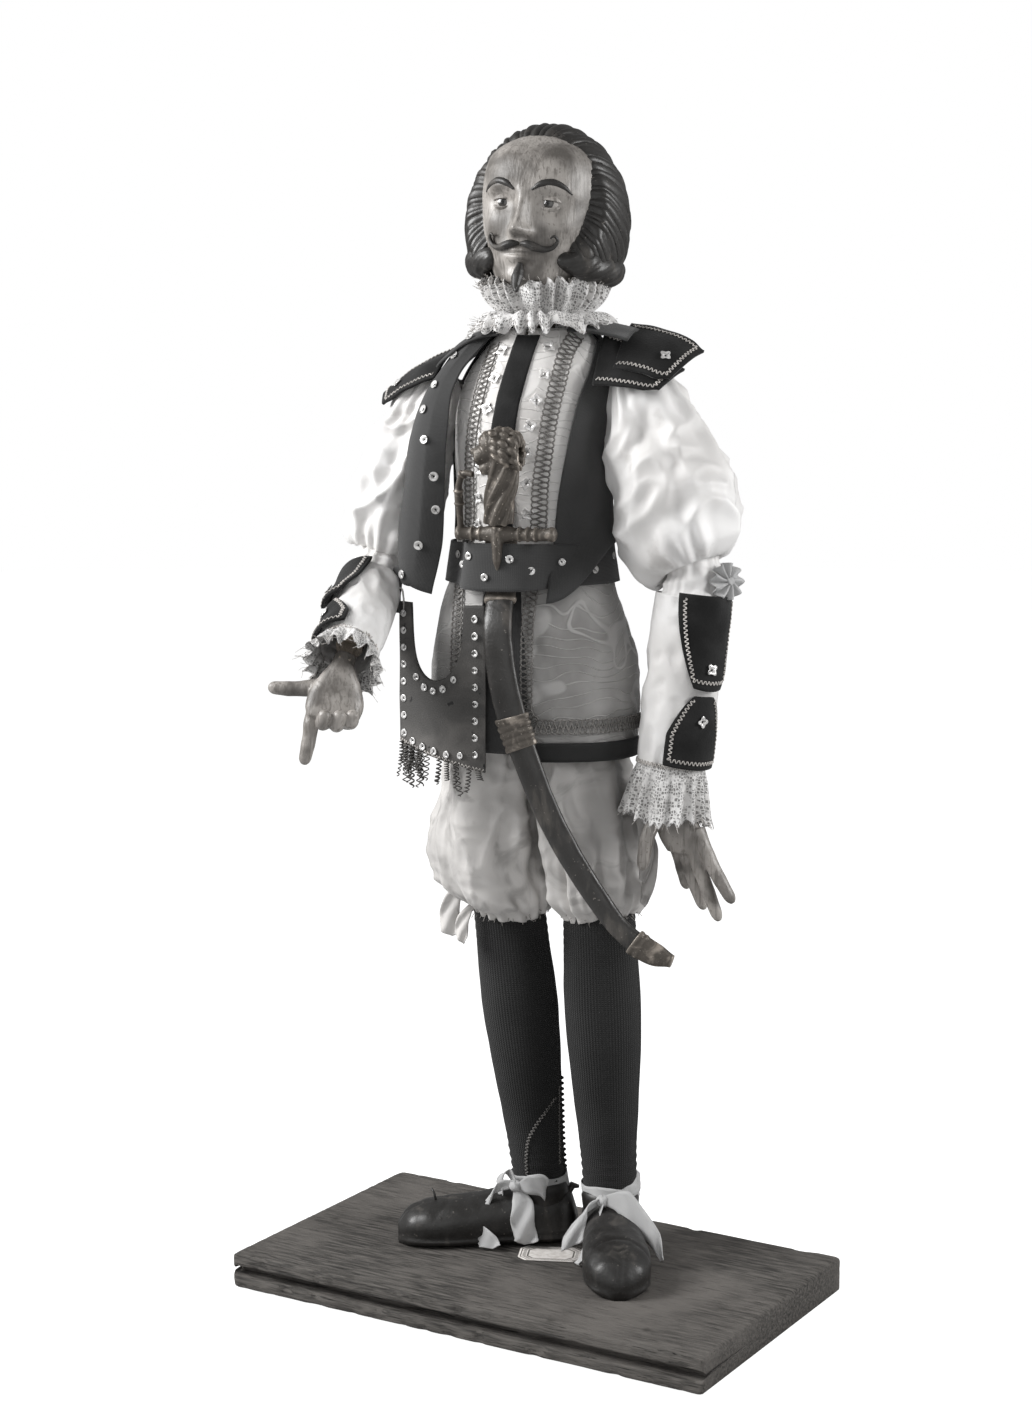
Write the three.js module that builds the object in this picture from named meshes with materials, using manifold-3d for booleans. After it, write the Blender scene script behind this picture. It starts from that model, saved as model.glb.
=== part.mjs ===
// A carved wooden marionette of a cavalier, standing on a plank. Millimetres, +Z up.
// The origin is under the middle of the plank, on its lower face; the plank's long sides run along X.
// The figure is modelled in a frame of its own, facing -Y with +X on its left, and one group turns it
// to the way it stands on the plank. Every piece of wood, metal or cloth is a mesh of its own.
import * as THREE from "three";
import { mergeVertices } from "three/addons/utils/BufferGeometryUtils.js";
import Module from "manifold-3d";

const wasm = await Module();
wasm.setup();

// Driving dimensions.
const PLANK = { length: 330, width: 190, thick: 22, grooveDepth: 9, grooveLow: 7.5, grooveHigh: 14 };
const FIGURE = { x: -8, y: 16, yaw: THREE.MathUtils.degToRad(14) };
const GROUND = PLANK.thick;
const ANKLE_Z = 62;
const KNEE_Z = 225;
const THIGH_TOP_Z = 346;
const PELVIS = { low: 352, high: 396 };
const BELT = { low: 441, high: 466 };
const NECK_TOP_Z = 593;
const NOD_Z = 608;
const ARM_LENGTH = 114;
const PIN_R = 1.8;
const GAP = 0.3;
const ROUND = 14;
const CLOTH = 2.5;

const UP = new THREE.Vector3(0, 0, 1);
const vec = (x, y, z) => new THREE.Vector3(x, y, z);

// One entry for each side of the figure: its joints and the way its limbs lie at rest.
const SIDES = {
  right: {
    sign: -1,
    ankle: vec(-3, 14, ANKLE_Z),
    knee: vec(-19, 5, KNEE_Z),
    hip: vec(-24, 0, THIGH_TOP_Z),
    toeOut: -69,
    shoulder: vec(-64, 0, 560),
    armWay: vec(-36, -8, -109).normalize(),
    forearmWay: vec(12, -91, -47).normalize(),
    armPuff: [[-8, 12], [4, 20], [30, 25], [60, 28], [86, 29], [104, 20]],
    puffOut: 5,
    forearm: 108,
    sleeveSpan: [30, 98],
    cuffSpan: 18,
    sleeveR: 19,
    flapTurn: -160,
    wristBend: 37,
  },
  left: {
    sign: 1,
    ankle: vec(45, 7, ANKLE_Z),
    knee: vec(39, 2, KNEE_Z),
    hip: vec(24, 0, THIGH_TOP_Z),
    toeOut: 19,
    shoulder: vec(62, 0, 560),
    armWay: vec(38, -8, -109).normalize(),
    forearmWay: vec(-11, -6, -107).normalize(),
    armPuff: [[-8, 14], [6, 24], [34, 33], [66, 38], [92, 37], [110, 22]],
    puffOut: 0,
    forearm: 118,
    sleeveSpan: [17, 116],
    cuffSpan: 34,
    sleeveR: 22.5,
    flapTurn: -40,
    wristBend: 0,
  },
};
for (const side of Object.values(SIDES)) {
  side.elbow = side.shoulder.clone().addScaledVector(side.armWay, ARM_LENGTH);
  side.wrist = side.elbow.clone().addScaledVector(side.forearmWay, side.forearm);
}
// The elbows bend about an axis square to both bones; it points to the figure's left.
SIDES.right.elbowAxis = SIDES.right.forearmWay.clone().cross(SIDES.right.armWay).normalize();
SIDES.left.elbowAxis = vec(1, 0, 0).projectOnPlane(SIDES.left.forearmWay).normalize();

const MATERIALS = {
  base_oak: [0x8a8176, 0.8, 0],
  carved_wood: [0x77685a, 0.6, 0],
  flesh_paint: [0xa89a8a, 0.45, 0],
  black_leather: [0x1d1a18, 0.5, 0],
  black_knit: [0x161514, 0.9, 0],
  white_satin: [0xe6e2da, 0.4, 0],
  brocade: [0xb9b2a4, 0.5, 0],
  dark_cloth: [0x2c2a28, 0.85, 0],
  black_velvet: [0x121111, 0.95, 0],
  pale_silk: [0xc9c3b6, 0.55, 0],
  lace: [0xcfc8ba, 0.9, 0],
  bronze_paint: [0x5a4a38, 0.5, 0.3],
  scabbard_paint: [0x1c1917, 0.45, 0],
  steel: [0x8c8c8c, 0.4, 1],
  paper: [0xe4dfd2, 0.9, 0],
};
const materialOf = (name) => {
  const [color, roughness, metalness] = MATERIALS[name];
  return new THREE.MeshStandardMaterial({ name, color, roughness, metalness });
};

// A closed geometry as a manifold-3d solid, and back.
function toSolid(geometry) {
  const bare = new THREE.BufferGeometry();
  const source = geometry.index ? geometry.toNonIndexed() : geometry;
  bare.setAttribute("position", source.getAttribute("position").clone());
  const merged = mergeVertices(bare, 1e-4);
  return new wasm.Manifold(new wasm.Mesh({
    numProp: 3,
    vertProperties: merged.attributes.position.array,
    triVerts: new Uint32Array(merged.index.array),
  }));
}
function toGeometry(solid) {
  const mesh = solid.getMesh();
  const geometry = new THREE.BufferGeometry();
  geometry.setAttribute("position", new THREE.BufferAttribute(mesh.vertProperties, 3));
  geometry.setIndex(new THREE.BufferAttribute(mesh.triVerts, 1));
  return geometry;
}
const join = (...shapes) => toGeometry(shapes.map(toSolid).reduce((a, b) => a.add(b)));
const cut = (shape, ...tools) =>
  toGeometry(tools.map(toSolid).reduce((a, b) => a.subtract(b), toSolid(shape)));

// A flat ring of points round a centre, an ellipse or (power over 2) a squarer one, in the plane of two axes.
function ring(centre, rx, ry, { n = ROUND, power = 2, across = vec(1, 0, 0), along = vec(0, 1, 0) } = {}) {
  return Array.from({ length: n }, (_, i) => {
    const a = (2 * Math.PI * i) / n;
    const c = Math.cos(a);
    const s = Math.sin(a);
    return centre.clone()
      .addScaledVector(across, rx * Math.sign(c) * Math.abs(c) ** (2 / power))
      .addScaledVector(along, ry * Math.sign(s) * Math.abs(s) ** (2 / power));
  });
}
const facesBetween = (a, b, n) => {
  const faces = [];
  for (let i = 0; i < n; i++) {
    const j = (i + 1) % n;
    faces.push([a + i, a + j, b + j], [a + i, b + j, b + i]);
  }
  return faces;
};
function meshOf(points, faces) {
  const geometry = new THREE.BufferGeometry();
  geometry.setAttribute("position", new THREE.Float32BufferAttribute(points.flatMap((p) => p.toArray()), 3));
  geometry.setIndex(faces.flat());
  // Built bottom up or top down, a body's faces are made to point out.
  const solid = toSolid(geometry);
  if (solid.volume() < 0) geometry.setIndex(faces.map(([a, b, c]) => [a, c, b]).flat());
  return geometry;
}
// A closed body through rings of equally many points, with a flat or pointed cap at each end.
function loft(rings) {
  const n = rings[0].length;
  const points = rings.flat();
  const faces = [];
  for (let k = 0; k + 1 < rings.length; k++) faces.push(...facesBetween(k * n, (k + 1) * n, n));
  for (const [k, flip] of [[0, true], [rings.length - 1, false]]) {
    const middle = rings[k].reduce((sum, p) => sum.add(p), vec(0, 0, 0)).divideScalar(n);
    points.push(middle);
    for (let i = 0; i < n; i++) {
      const j = (i + 1) % n;
      const face = [k * n + i, k * n + j, points.length - 1];
      faces.push(flip ? face.reverse() : face);
    }
  }
  return meshOf(points, faces);
}
// A wall between an outer and an inner set of rings, open at both ends.
function shell(outer, inner) {
  const n = outer[0].length;
  const loop = [...outer, ...inner.slice().reverse()];
  const points = loop.flat();
  const faces = [];
  for (let k = 0; k < loop.length; k++) faces.push(...facesBetween(k * n, ((k + 1) % loop.length) * n, n));
  return meshOf(points, faces);
}
// A slab over a grid: at(u, v, side) gives the point on its outer (side 1) or inner (side 0) face.
function slab(at, nu, nv) {
  const points = [];
  for (const side of [1, 0])
    for (let j = 0; j <= nv; j++)
      for (let i = 0; i <= nu; i++) points.push(at(i / nu, j / nv, side));
  const id = (side, i, j) => (side ? 0 : (nu + 1) * (nv + 1)) + j * (nu + 1) + i;
  const faces = [];
  const quad = (a, b, c, d) => faces.push([a, b, c], [a, c, d]);
  for (let j = 0; j < nv; j++)
    for (let i = 0; i < nu; i++) {
      quad(id(1, i, j), id(1, i + 1, j), id(1, i + 1, j + 1), id(1, i, j + 1));
      quad(id(0, i, j), id(0, i, j + 1), id(0, i + 1, j + 1), id(0, i + 1, j));
    }
  for (let i = 0; i < nu; i++) {
    quad(id(1, i + 1, 0), id(1, i, 0), id(0, i, 0), id(0, i + 1, 0));
    quad(id(1, i, nv), id(1, i + 1, nv), id(0, i + 1, nv), id(0, i, nv));
  }
  for (let j = 0; j < nv; j++) {
    quad(id(1, 0, j), id(1, 0, j + 1), id(0, 0, j + 1), id(0, 0, j));
    quad(id(1, nu, j + 1), id(1, nu, j), id(0, nu, j), id(0, nu, j + 1));
  }
  return meshOf(points, faces);
}
// A body along a line of places, each with its half width (across) and half depth; `across` fixes the roll.
function limb(stations, { across = vec(1, 0, 0), n = 12, power = 2 } = {}) {
  return loft(limbRings(stations, { across, n, power }));
}
function limbRings(stations, { across = vec(1, 0, 0), n = 12, power = 2 } = {}) {
  return stations.map(({ at, r, d = r }, k) => {
    const way = stations[Math.min(k + 1, stations.length - 1)].at.clone()
      .sub(stations[Math.max(k - 1, 0)].at).normalize();
    const along = way.clone().cross(across).normalize();
    return ring(at, r, d, { n, power, across: along.clone().cross(way), along });
  });
}
const rod = (from, to, r, n = 10) =>
  loft([from, to].map((p) => {
    const way = to.clone().sub(from).normalize();
    const side = Math.abs(way.z) > 0.9 ? vec(1, 0, 0) : UP.clone();
    const along = way.clone().cross(side).normalize();
    return ring(p, r, r, { n, across: along.clone().cross(way), along });
  }));
// A box of a size, its middle at a place, its sides along a basis of three unit vectors.
function boxAt(size, middle, basis) {
  const geometry = new THREE.BoxGeometry(...size);
  if (basis) geometry.applyMatrix4(new THREE.Matrix4().makeBasis(...basis));
  return geometry.translate(middle.x, middle.y, middle.z);
}
// The values at a place, on smooth curves through a table of [place, value, value, ...] rows.
function follow(table, place) {
  const last = table.length - 1;
  const found = table.findIndex((row) => row[0] >= place);
  const k = Math.max(1, found < 0 ? last : found);
  const rows = [k - 2, k - 1, k, k + 1].map((i) => table[Math.min(last, Math.max(0, i))]);
  const [before, a, b, after] = rows;
  const span = b[0] - a[0];
  const t = Math.min(1, Math.max(0, (place - a[0]) / span));
  const slope = (low, high, i) => ((high[i] - low[i]) / Math.max(1e-6, high[0] - low[0])) * span;
  return a.slice(1).map((value, j) => {
    const i = j + 1;
    const [m0, m1] = [slope(before, b, i), slope(a, after, i)];
    const rise = b[i] - value;
    return value + t * m0 + t * t * (3 * rise - 2 * m0 - m1) + t ** 3 * (m0 + m1 - 2 * rise);
  });
}
const levels = (low, high, count) =>
  Array.from({ length: count }, (_, i) => low + ((high - low) * i) / (count - 1));

// The clothed trunk: height, middle X, half width, half depth of the doublet's outside.
const TRUNK = [
  [340, -2, 62, 47], [370, -2, 63, 48], [400, -2, 61, 46], [430, -4, 53, 41], [452, -4, 47, 37],
  [480, -4, 45, 38], [520, -4, 46, 41], [546, -3, 46, 41], [566, 0, 43, 36], [582, 4, 36, 29],
  [594, 4, 25, 21],
];
const trunkRing = (z, grow, n = 20) => {
  const [cx, rx, ry] = follow(TRUNK, z);
  return ring(vec(cx, 0, z), rx + grow, ry + grow, { n, power: 2.2 });
};
// A place on the trunk's outside, at an angle from straight ahead (positive to the figure's left).
function onTrunk(degrees, z, grow) {
  const [cx, rx, ry] = follow(TRUNK, z);
  const a = THREE.MathUtils.degToRad(degrees - 90);
  const c = Math.cos(a);
  const s = Math.sin(a);
  const k = 2 / 2.2;
  return vec(
    cx + (rx + grow) * Math.sign(c) * Math.abs(c) ** k,
    (ry + grow) * Math.sign(s) * Math.abs(s) ** k,
    z,
  );
}
// A panel that lies on the trunk between two edges (angles, given the share of the way down) and two heights.
const trunkPanel = ({ from, to, low, high, inner, outer, nu = 8, nv = 8 }) =>
  slab((u, v, side) => {
    const z = high * (1 - v) + low * v;
    const a = from(v) * (1 - u) + to(v) * u;
    return onTrunk(a, z, side ? outer : inner);
  }, nu, nv);

const figure = new THREE.Group();
figure.position.set(FIGURE.x, FIGURE.y, 0);
figure.rotation.z = FIGURE.yaw;
const part = new THREE.Group();
part.add(figure);

function add(name, geometry, material, parent = figure) {
  const mesh = new THREE.Mesh(geometry, materialOf(material));
  mesh.name = name;
  parent.add(mesh);
  return mesh;
}

// ---- The stand -------------------------------------------------------------------------------------------

// A sole screw comes up through the plank into each shoe.
const SCREW = { headR: 4, headDeep: 3, shankR: 1.8, top: GROUND + 16 };
const figurePoint = (p) => p.clone().applyAxisAngle(UP, FIGURE.yaw).add(vec(FIGURE.x, FIGURE.y, 0));
const screwPlace = (side) => figurePoint(side.ankle).setZ(0);

function plank() {
  const { length, width, thick, grooveDepth, grooveLow, grooveHigh } = PLANK;
  const back = width / 2;
  const bevel = 2;
  const outline = new THREE.Shape([
    [-back, 0], [back - bevel, 0], [back, bevel], [back, thick - bevel], [back - bevel, thick],
    [-back + bevel, thick], [-back, thick - bevel], [-back, grooveHigh],
    [-back + grooveDepth, grooveHigh - 1], [-back + grooveDepth, grooveLow + 1], [-back, grooveLow],
  ].map(([x, y]) => new THREE.Vector2(x, y)));
  // The outline stands in the YZ plane: shape X becomes Y, shape Y becomes Z, and it is extruded along X.
  const body = new THREE.ExtrudeGeometry(outline, { depth: length, bevelEnabled: false })
    .applyMatrix4(new THREE.Matrix4().makeBasis(vec(0, 1, 0), UP, vec(1, 0, 0)))
    .translate(-length / 2, 0, 0);
  const holes = Object.values(SIDES).flatMap((side) => {
    const p = screwPlace(side);
    return [
      rod(p.clone().setZ(-1), p.clone().setZ(SCREW.headDeep + GAP), SCREW.headR + GAP),
      rod(p.clone().setZ(0.5), p.clone().setZ(thick + 1), SCREW.shankR + GAP),
    ];
  });
  return cut(body, ...holes);
}
const screw = (side) => {
  const p = screwPlace(side);
  return join(
    rod(p.clone().setZ(0.3), p.clone().setZ(SCREW.headDeep), SCREW.headR),
    rod(p.clone().setZ(1), p.clone().setZ(SCREW.top), SCREW.shankR),
  );
};
function label() {
  const [long, wide, corner] = [20, 12.5, 5];
  const outline = new THREE.Shape([
    [-long, -wide + corner], [-long + corner, -wide], [long - corner, -wide], [long, -wide + corner],
    [long, wide - corner], [long - corner, wide], [-long + corner, wide], [-long, wide - corner],
  ].map(([x, y]) => new THREE.Vector2(x, y)));
  return new THREE.ExtrudeGeometry(outline, { depth: 0.5, bevelEnabled: false });
}
add("base_plank", plank(), "base_oak", part);
const labelMesh = add("paper_label", label(), "paper", part);
labelMesh.position.set(8, 5, GROUND + 0.02);
labelMesh.rotation.z = THREE.MathUtils.degToRad(24);
for (const [name, side] of Object.entries(SIDES)) add(`${name}_sole_screw`, screw(side), "steel", part);

// ---- Feet and legs ---------------------------------------------------------------------------------------

// Half width and height of the shoe along its length, from behind the heel to the toe; the ankle is at 0.
const SHOE = [
  [-24, 9, 20], [-19, 14, 29], [-8, 17, 35], [8, 18, 35], [25, 18, 32],
  [45, 20, 28], [64, 21, 26], [78, 18, 23], [87, 12, 18], [91, 5, 11],
];
const PEG_R = 7;
const PEG_LOW = GROUND + 18;
function shoe() {
  const rings = SHOE.map(([y, half, high]) =>
    ring(vec(0, -y, high / 2), half, high / 2, { n: 14, power: 3, along: UP }));
  const socket = rod(vec(0, 0, PEG_LOW - GROUND - GAP), vec(0, 0, 60), PEG_R + GAP, 16);
  const bore = rod(vec(0, 0, -1), vec(0, 0, SCREW.top - GROUND + GAP), SCREW.shankR + GAP, 8);
  return cut(loft(rings), socket, bore);
}
// The stocking's outside radius at heights up the lower leg.
const CALF = [[ANKLE_Z - 3, 15.5], [85, 17], [130, 20.5], [180, 23.3], [232, 21.5]];
const legAt = (side, z) => side.ankle.clone().lerp(side.knee, (z - ANKLE_Z) / (KNEE_Z - ANKLE_Z));
const legRings = (side, grow) => CALF.map(([z, r]) => ring(legAt(side, z), r + grow, r + grow));
const KNEE_SLOT = 11;
function shin(side) {
  const body = loft(legRings(side, -1.6));
  const peg = rod(side.ankle.clone().setZ(PEG_LOW), side.ankle.clone().setZ(ANKLE_Z), PEG_R);
  const slot = boxAt([KNEE_SLOT + 4 * GAP, 60, 60], side.knee.clone().add(vec(0, 0, 30 - 14)));
  return cut(join(body, peg), slot, kneePin(side, PIN_R + GAP, 60));
}
const kneePin = (side, r = PIN_R, long = 36) =>
  rod(side.knee.clone().add(vec(-long / 2, 0, -2)), side.knee.clone().add(vec(long / 2, 0, -2)), r, 10);
function thigh(side) {
  const low = side.knee.clone().setZ(KNEE_Z + 12);
  const body = limb([
    { at: low, r: 17 }, { at: low.clone().lerp(side.hip, 0.4), r: 18.5 }, { at: side.hip, r: 18 },
  ], { n: ROUND });
  const tongue = boxAt([KNEE_SLOT, 22, 30], side.knee.clone().add(vec(0, 0, 3)));
  const peg = rod(side.hip.clone().add(vec(0, 0, -8)), side.hip.clone().add(vec(0, 0, 20)), PEG_R);
  return cut(join(body, tongue, peg), kneePin(side, PIN_R + GAP, 60));
}
// The stocking covers the shin; the breeches' legs bag out over the knee and are gathered under it.
const stocking = (side) => shell(legRings(side, 0), legRings(side, -1.3));
const BREECHES = {
  right: [[238, -20, 4, 26, 26], [248, -25, 2, 31, 31], [264, -30, 0, 34.5, 36], [288, -31, -1, 33.5, 37],
    [312, -30, -1, 30.5, 36], [342, -28, 0, 27.5, 34]],
  left: [[241, 39, 2, 25, 26], [250, 39, 1, 27, 30], [266, 38, 0, 28.5, 35], [288, 35, -1, 29.5, 36],
    [312, 30, -1, 29, 36], [342, 26, 0, 25, 34]],
};
const breechRings = (name, grow) =>
  BREECHES[name].map(([z, x, y, rx, ry]) => ring(vec(x, y, z), rx + grow, ry + grow));
const breechLeg = (name) => shell(breechRings(name, 0), breechRings(name, -CLOTH));
// A bow tied round the ankle: a band, with the knot, loops and tails in one flat body in front.
function shoeRibbon(side) {
  const z = ANKLE_Z;
  const band = (r) => [z - 1, z + 7].map((h) => ring(side.ankle.clone().setZ(h), r, r));
  const way = vec(0, -1, 0).applyAxisAngle(UP, THREE.MathUtils.degToRad(side.toeOut));
  const across = way.clone().cross(UP);
  const knot = side.ankle.clone().addScaledVector(way, 21).setZ(z + 3);
  const at = (a, f, h) => knot.clone().addScaledVector(across, a).addScaledVector(way, f).add(vec(0, 0, h));
  const loop = (s) => limb([
    { at: at(0, 0, 0), r: 3.5, d: 2.5 }, { at: at(s * 9, 2, 1), r: 6, d: 3 },
    { at: at(s * 18, 2, -3), r: 6.5, d: 2.5 },
  ], { across: UP, n: 6 });
  const tail = (s) => limb([
    { at: at(0, 0, 0), r: 3, d: 2 }, { at: at(s * 7, 6, -2), r: 5, d: 1.5 },
    { at: at(s * 14, 14, -6), r: 5.5, d: 1.2 },
  ], { across, n: 6 });
  return join(shell(band(19.6), band(17.6)), loop(1), loop(-1), tail(1), tail(-1));
}
for (const [name, side] of Object.entries(SIDES)) {
  const made = add(`${name}_shoe`, shoe(), "black_leather");
  made.position.set(side.ankle.x, side.ankle.y, GROUND + 0.02);
  made.rotation.z = THREE.MathUtils.degToRad(side.toeOut);
  add(`${name}_shin`, shin(side), "carved_wood");
  add(`${name}_thigh`, thigh(side), "carved_wood");
  add(`${name}_knee_pin`, kneePin(side), "steel");
  add(`${name}_stocking`, stocking(side), "black_knit");
  add(`${name}_breech_leg`, breechLeg(name), "pale_silk");
  add(`${name}_shoe_ribbon`, shoeRibbon(side), "white_satin");
}
// The garter bow hangs at the outside of the right knee.
function garterBow() {
  const { knee } = SIDES.right;
  const at = (x, y, z) => vec(knee.x + x, knee.y + y, z);
  return limb([
    { at: at(-33, -6, 238), r: 3, d: 2 }, { at: at(-42, -7, 246), r: 6, d: 2 },
    { at: at(-45, -8, 236), r: 7, d: 2 }, { at: at(-43, -8, 222), r: 8, d: 1.6 },
  ], { across: vec(0, 1, 0), n: 6 });
}

// ---- Trunk -----------------------------------------------------------------------------------------------

const WAIST_DOWEL = { r: 11, low: PELVIS.low + 22, high: 446 };
const waistDowel = (grow = 0, more = 0) =>
  rod(vec(-2, 0, WAIST_DOWEL.low - more), vec(-2, 0, WAIST_DOWEL.high + more), WAIST_DOWEL.r + grow, 12);
function pelvisBlock() {
  const { low, high } = PELVIS;
  const rings = [[low, 40, 22], [low + 10, 43, 25], [high - 10, 42, 25], [high, 36, 21]]
    .map(([z, rx, ry]) => ring(vec(0, 0, z), rx, ry, { n: 24, power: 3 }));
  const sockets = Object.values(SIDES).map(({ hip }) =>
    rod(hip.clone().add(vec(0, 0, -9)), hip.clone().add(vec(0, 0, 20 + GAP)), PEG_R + GAP));
  return cut(loft(rings), ...sockets, waistDowel(GAP, GAP));
}
const AXLE_R = 4;
function torsoBlock() {
  const body = loft(levels(420, NECK_TOP_Z - 2, 9).map((z) => trunkRing(z, -5.5, 16)));
  const neckHole = rod(vec(2, 0, 556), vec(2, 0, 600), 8 + GAP, 16);
  const axles = Object.values(SIDES).map((side) =>
    rod(vec(side.sign * 26, 0, 560), vec(side.sign * 60, 0, 560), AXLE_R + GAP));
  return cut(body, waistDowel(GAP, GAP), neckHole, ...axles);
}
// The doublet hangs from the neck to over the hips; its arm holes let the shoulder links through.
function doublet() {
  const heights = [340, 360, 380, 400, 420, 436, 452, 475, 500, 525, 546, 560, 574, 584, 592];
  const body = shell(heights.map((z) => trunkRing(z, 0)), heights.map((z) => trunkRing(z, -CLOTH)));
  return cut(body, ...armHoles());
}
const armHoles = () =>
  Object.values(SIDES).map(({ sign }) => rod(vec(sign * 24, 0, 560), vec(sign * 66, 0, 560), 7.5));
const placket = () => trunkPanel({
  from: (v) => -16 - 8 * v, to: (v) => 10 + 8 * v, low: 342, high: 590, inner: 1.2, outer: 2.2, nu: 4, nv: 12,
});
// The sleeveless vest: a back, a left front to the waist, a strap on the left shoulder, and a right front
// that hangs from the shoulder clear of the waist. Each row of the right front is an outer and a front edge.
const VEST_RIGHT = [
  { outer: vec(-52, -19, 572), front: vec(-24, -19, 590) },
  { outer: vec(-63, -26, 554), front: vec(-40, -38, 560) },
  { outer: vec(-71, -31, 530), front: vec(-46, -44, 530) },
  { outer: vec(-74, -34, 500), front: vec(-47, -45, 500) },
  { outer: vec(-78, -32, 468), front: vec(-49, -44, 468) },
  { outer: vec(-77, -31, 444), front: vec(-55, -42, 437) },
];
function vestRight() {
  const curve = (edge) => new THREE.CatmullRomCurve3(VEST_RIGHT.map((row) => row[edge]));
  const [outer, front] = [curve("outer"), curve("front")];
  return slab((u, v, side) => {
    const p = outer.getPoint(v).lerp(front.getPoint(v), u);
    const lift = 5 * Math.sin(Math.PI * u) + 1.4 * side;
    return p.add(vec(-0.55 * lift, -0.83 * lift, 0));
  }, 4, 8);
}
// Each strap lies over a shoulder, from beside the neck, and falls away to its outer end.
const STRAPS = { right: { inner: -16, outer: -54, drop: 20 }, left: { inner: 24, outer: 60, drop: 8 } };
const strap = ({ inner, outer, drop }) => slab((u, v, side) => {
  const y = -25 + 50 * v;
  return vec(inner + (outer - inner) * u, y, 596 - drop * u * u - (y * y) / 100 + 1.8 * side);
}, 4, 4);
function vest() {
  const wall = { inner: 3, outer: 4.4 };
  const back = trunkPanel({ ...wall, from: () => 80, to: () => 275, low: 470, high: 593, nu: 12, nv: 7 });
  const left = trunkPanel({
    ...wall, from: (v) => 28 + 5 * v, to: () => 84, low: 470, high: 593, nu: 4, nv: 7,
  });
  return cut(join(back, left, strap(STRAPS.left), strap(STRAPS.right), vestRight()), ...armHoles());
}
// The belt stands off the trunk in front, where the scabbard passes behind it.
function belt() {
  const bulge = (degrees) => 14 * Math.exp(-(((degrees + 7) / 24) ** 4));
  const rows = (grow) => [BELT.low, BELT.high].map((z) =>
    Array.from({ length: 36 }, (_, i) => {
      const degrees = -180 + i * 10;
      return onTrunk(degrees, z, grow + bulge(degrees));
    }));
  return shell(rows(4.6), rows(2.8));
}
// Shoulder tabs of velvet: they leave the vest's shoulder and stand out over the top of the sleeve.
const EPAULETTES = {
  right: { inner: vec(-50, -4, 585), tip: vec(-100, -6, 551), arch: 6, half: 24 },
  left: { inner: vec(57, -4, 594), tip: vec(100, -6, 579), arch: 5, half: 26 },
};
function epaulette(name) {
  const { inner, tip, arch, half } = EPAULETTES[name];
  return slab((u, v, face) => {
    const y = half * (2 * u - 1) * (1 - 0.25 * v);
    const rise = arch * Math.sin(Math.PI * v) - (y * y) / 90 + 1.6 * face;
    return inner.clone().lerp(tip, v).add(vec(0, y, rise));
  }, 5, 4);
}
// The collar stands round the neck and opens under the jaw: height, inner and outer radius.
const COLLAR = [[599, 25, 36], [605, 31, 41], [612, 37, 42]];
function laceCollar() {
  const rows = (column) => COLLAR.map((row) => ring(vec(4, 0, row[0]), row[column], row[column], { n: 24 }));
  return shell(rows(2), rows(1));
}
add("pelvis_block", pelvisBlock(), "carved_wood");
add("waist_dowel", waistDowel(), "carved_wood");
add("torso_block", torsoBlock(), "carved_wood");
add("right_garter_bow", garterBow(), "pale_silk");
add("doublet", doublet(), "brocade");
add("placket", placket(), "black_velvet");
add("vest", vest(), "dark_cloth");
add("belt", belt(), "dark_cloth");
add("lace_collar", laceCollar(), "lace");
for (const name of Object.keys(SIDES)) add(`${name}_epaulette`, epaulette(name), "black_velvet");

// ---- Hip panel -------------------------------------------------------------------------------------------

// A stiff studded flap with two horns that hang it from the belt; between the horns its top is scooped.
const HIP = {
  left: vec(-77, -34, 0), right: vec(-18, -51, 0), topZ: 431, scoop: 46, lowLeft: 346, lowRight: 331,
};
function hipPanel() {
  const { left, right, topZ, scoop, lowLeft, lowRight } = HIP;
  return slab((u, v, side) => {
    const share = Math.min(1, Math.max(0, (u - 0.18) / 0.62));
    const top = topZ - scoop * Math.sin(Math.PI * share) ** 0.6;
    const bow = 7 * Math.sin(Math.PI * u) + 1.6 * side;
    const p = left.clone().lerp(right, u).add(vec(-0.36 * bow, -0.93 * bow, 0));
    return p.setZ(top * (1 - v) + (lowLeft + (lowRight - lowLeft) * u) * v);
  }, 14, 4);
}
add("hip_panel", hipPanel(), "dark_cloth");

// ---- Sabre -----------------------------------------------------------------------------------------------

// The line of the sabre in XZ, its depth Y, and the half width of the scabbard, from the guard down.
const SABRE_LINE = [
  [-9, 470, -48, 8.5], [-9, 437, -49, 8.8], [-8, 423, -58, 9], [-5, 395, -61, 9.3],
  [2, 365, -61, 9.3],
  [10, 343, -61, 8.6], [22, 314, -61, 8.2], [38, 285, -61, 7.8], [55, 260, -61, 7.3], [70, 242, -61, 6.8],
  [86, 231, -61, 7], [100, 226, -61, 5],
];
const sabreStations = (first, last, grow = 0, thick = 3.6) =>
  SABRE_LINE.slice(first, last + 1)
    .map(([x, z, y, r]) => ({ at: vec(x, y, z), r: r + grow, d: thick + grow }));
const between = (a, b, t) =>
  ({ at: a.at.clone().lerp(b.at, t), r: a.r + (b.r - a.r) * t, d: a.d + (b.d - a.d) * t });
const ACROSS_SABRE = { across: vec(1, 0, 0), n: 12, power: 2.4 };
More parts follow.
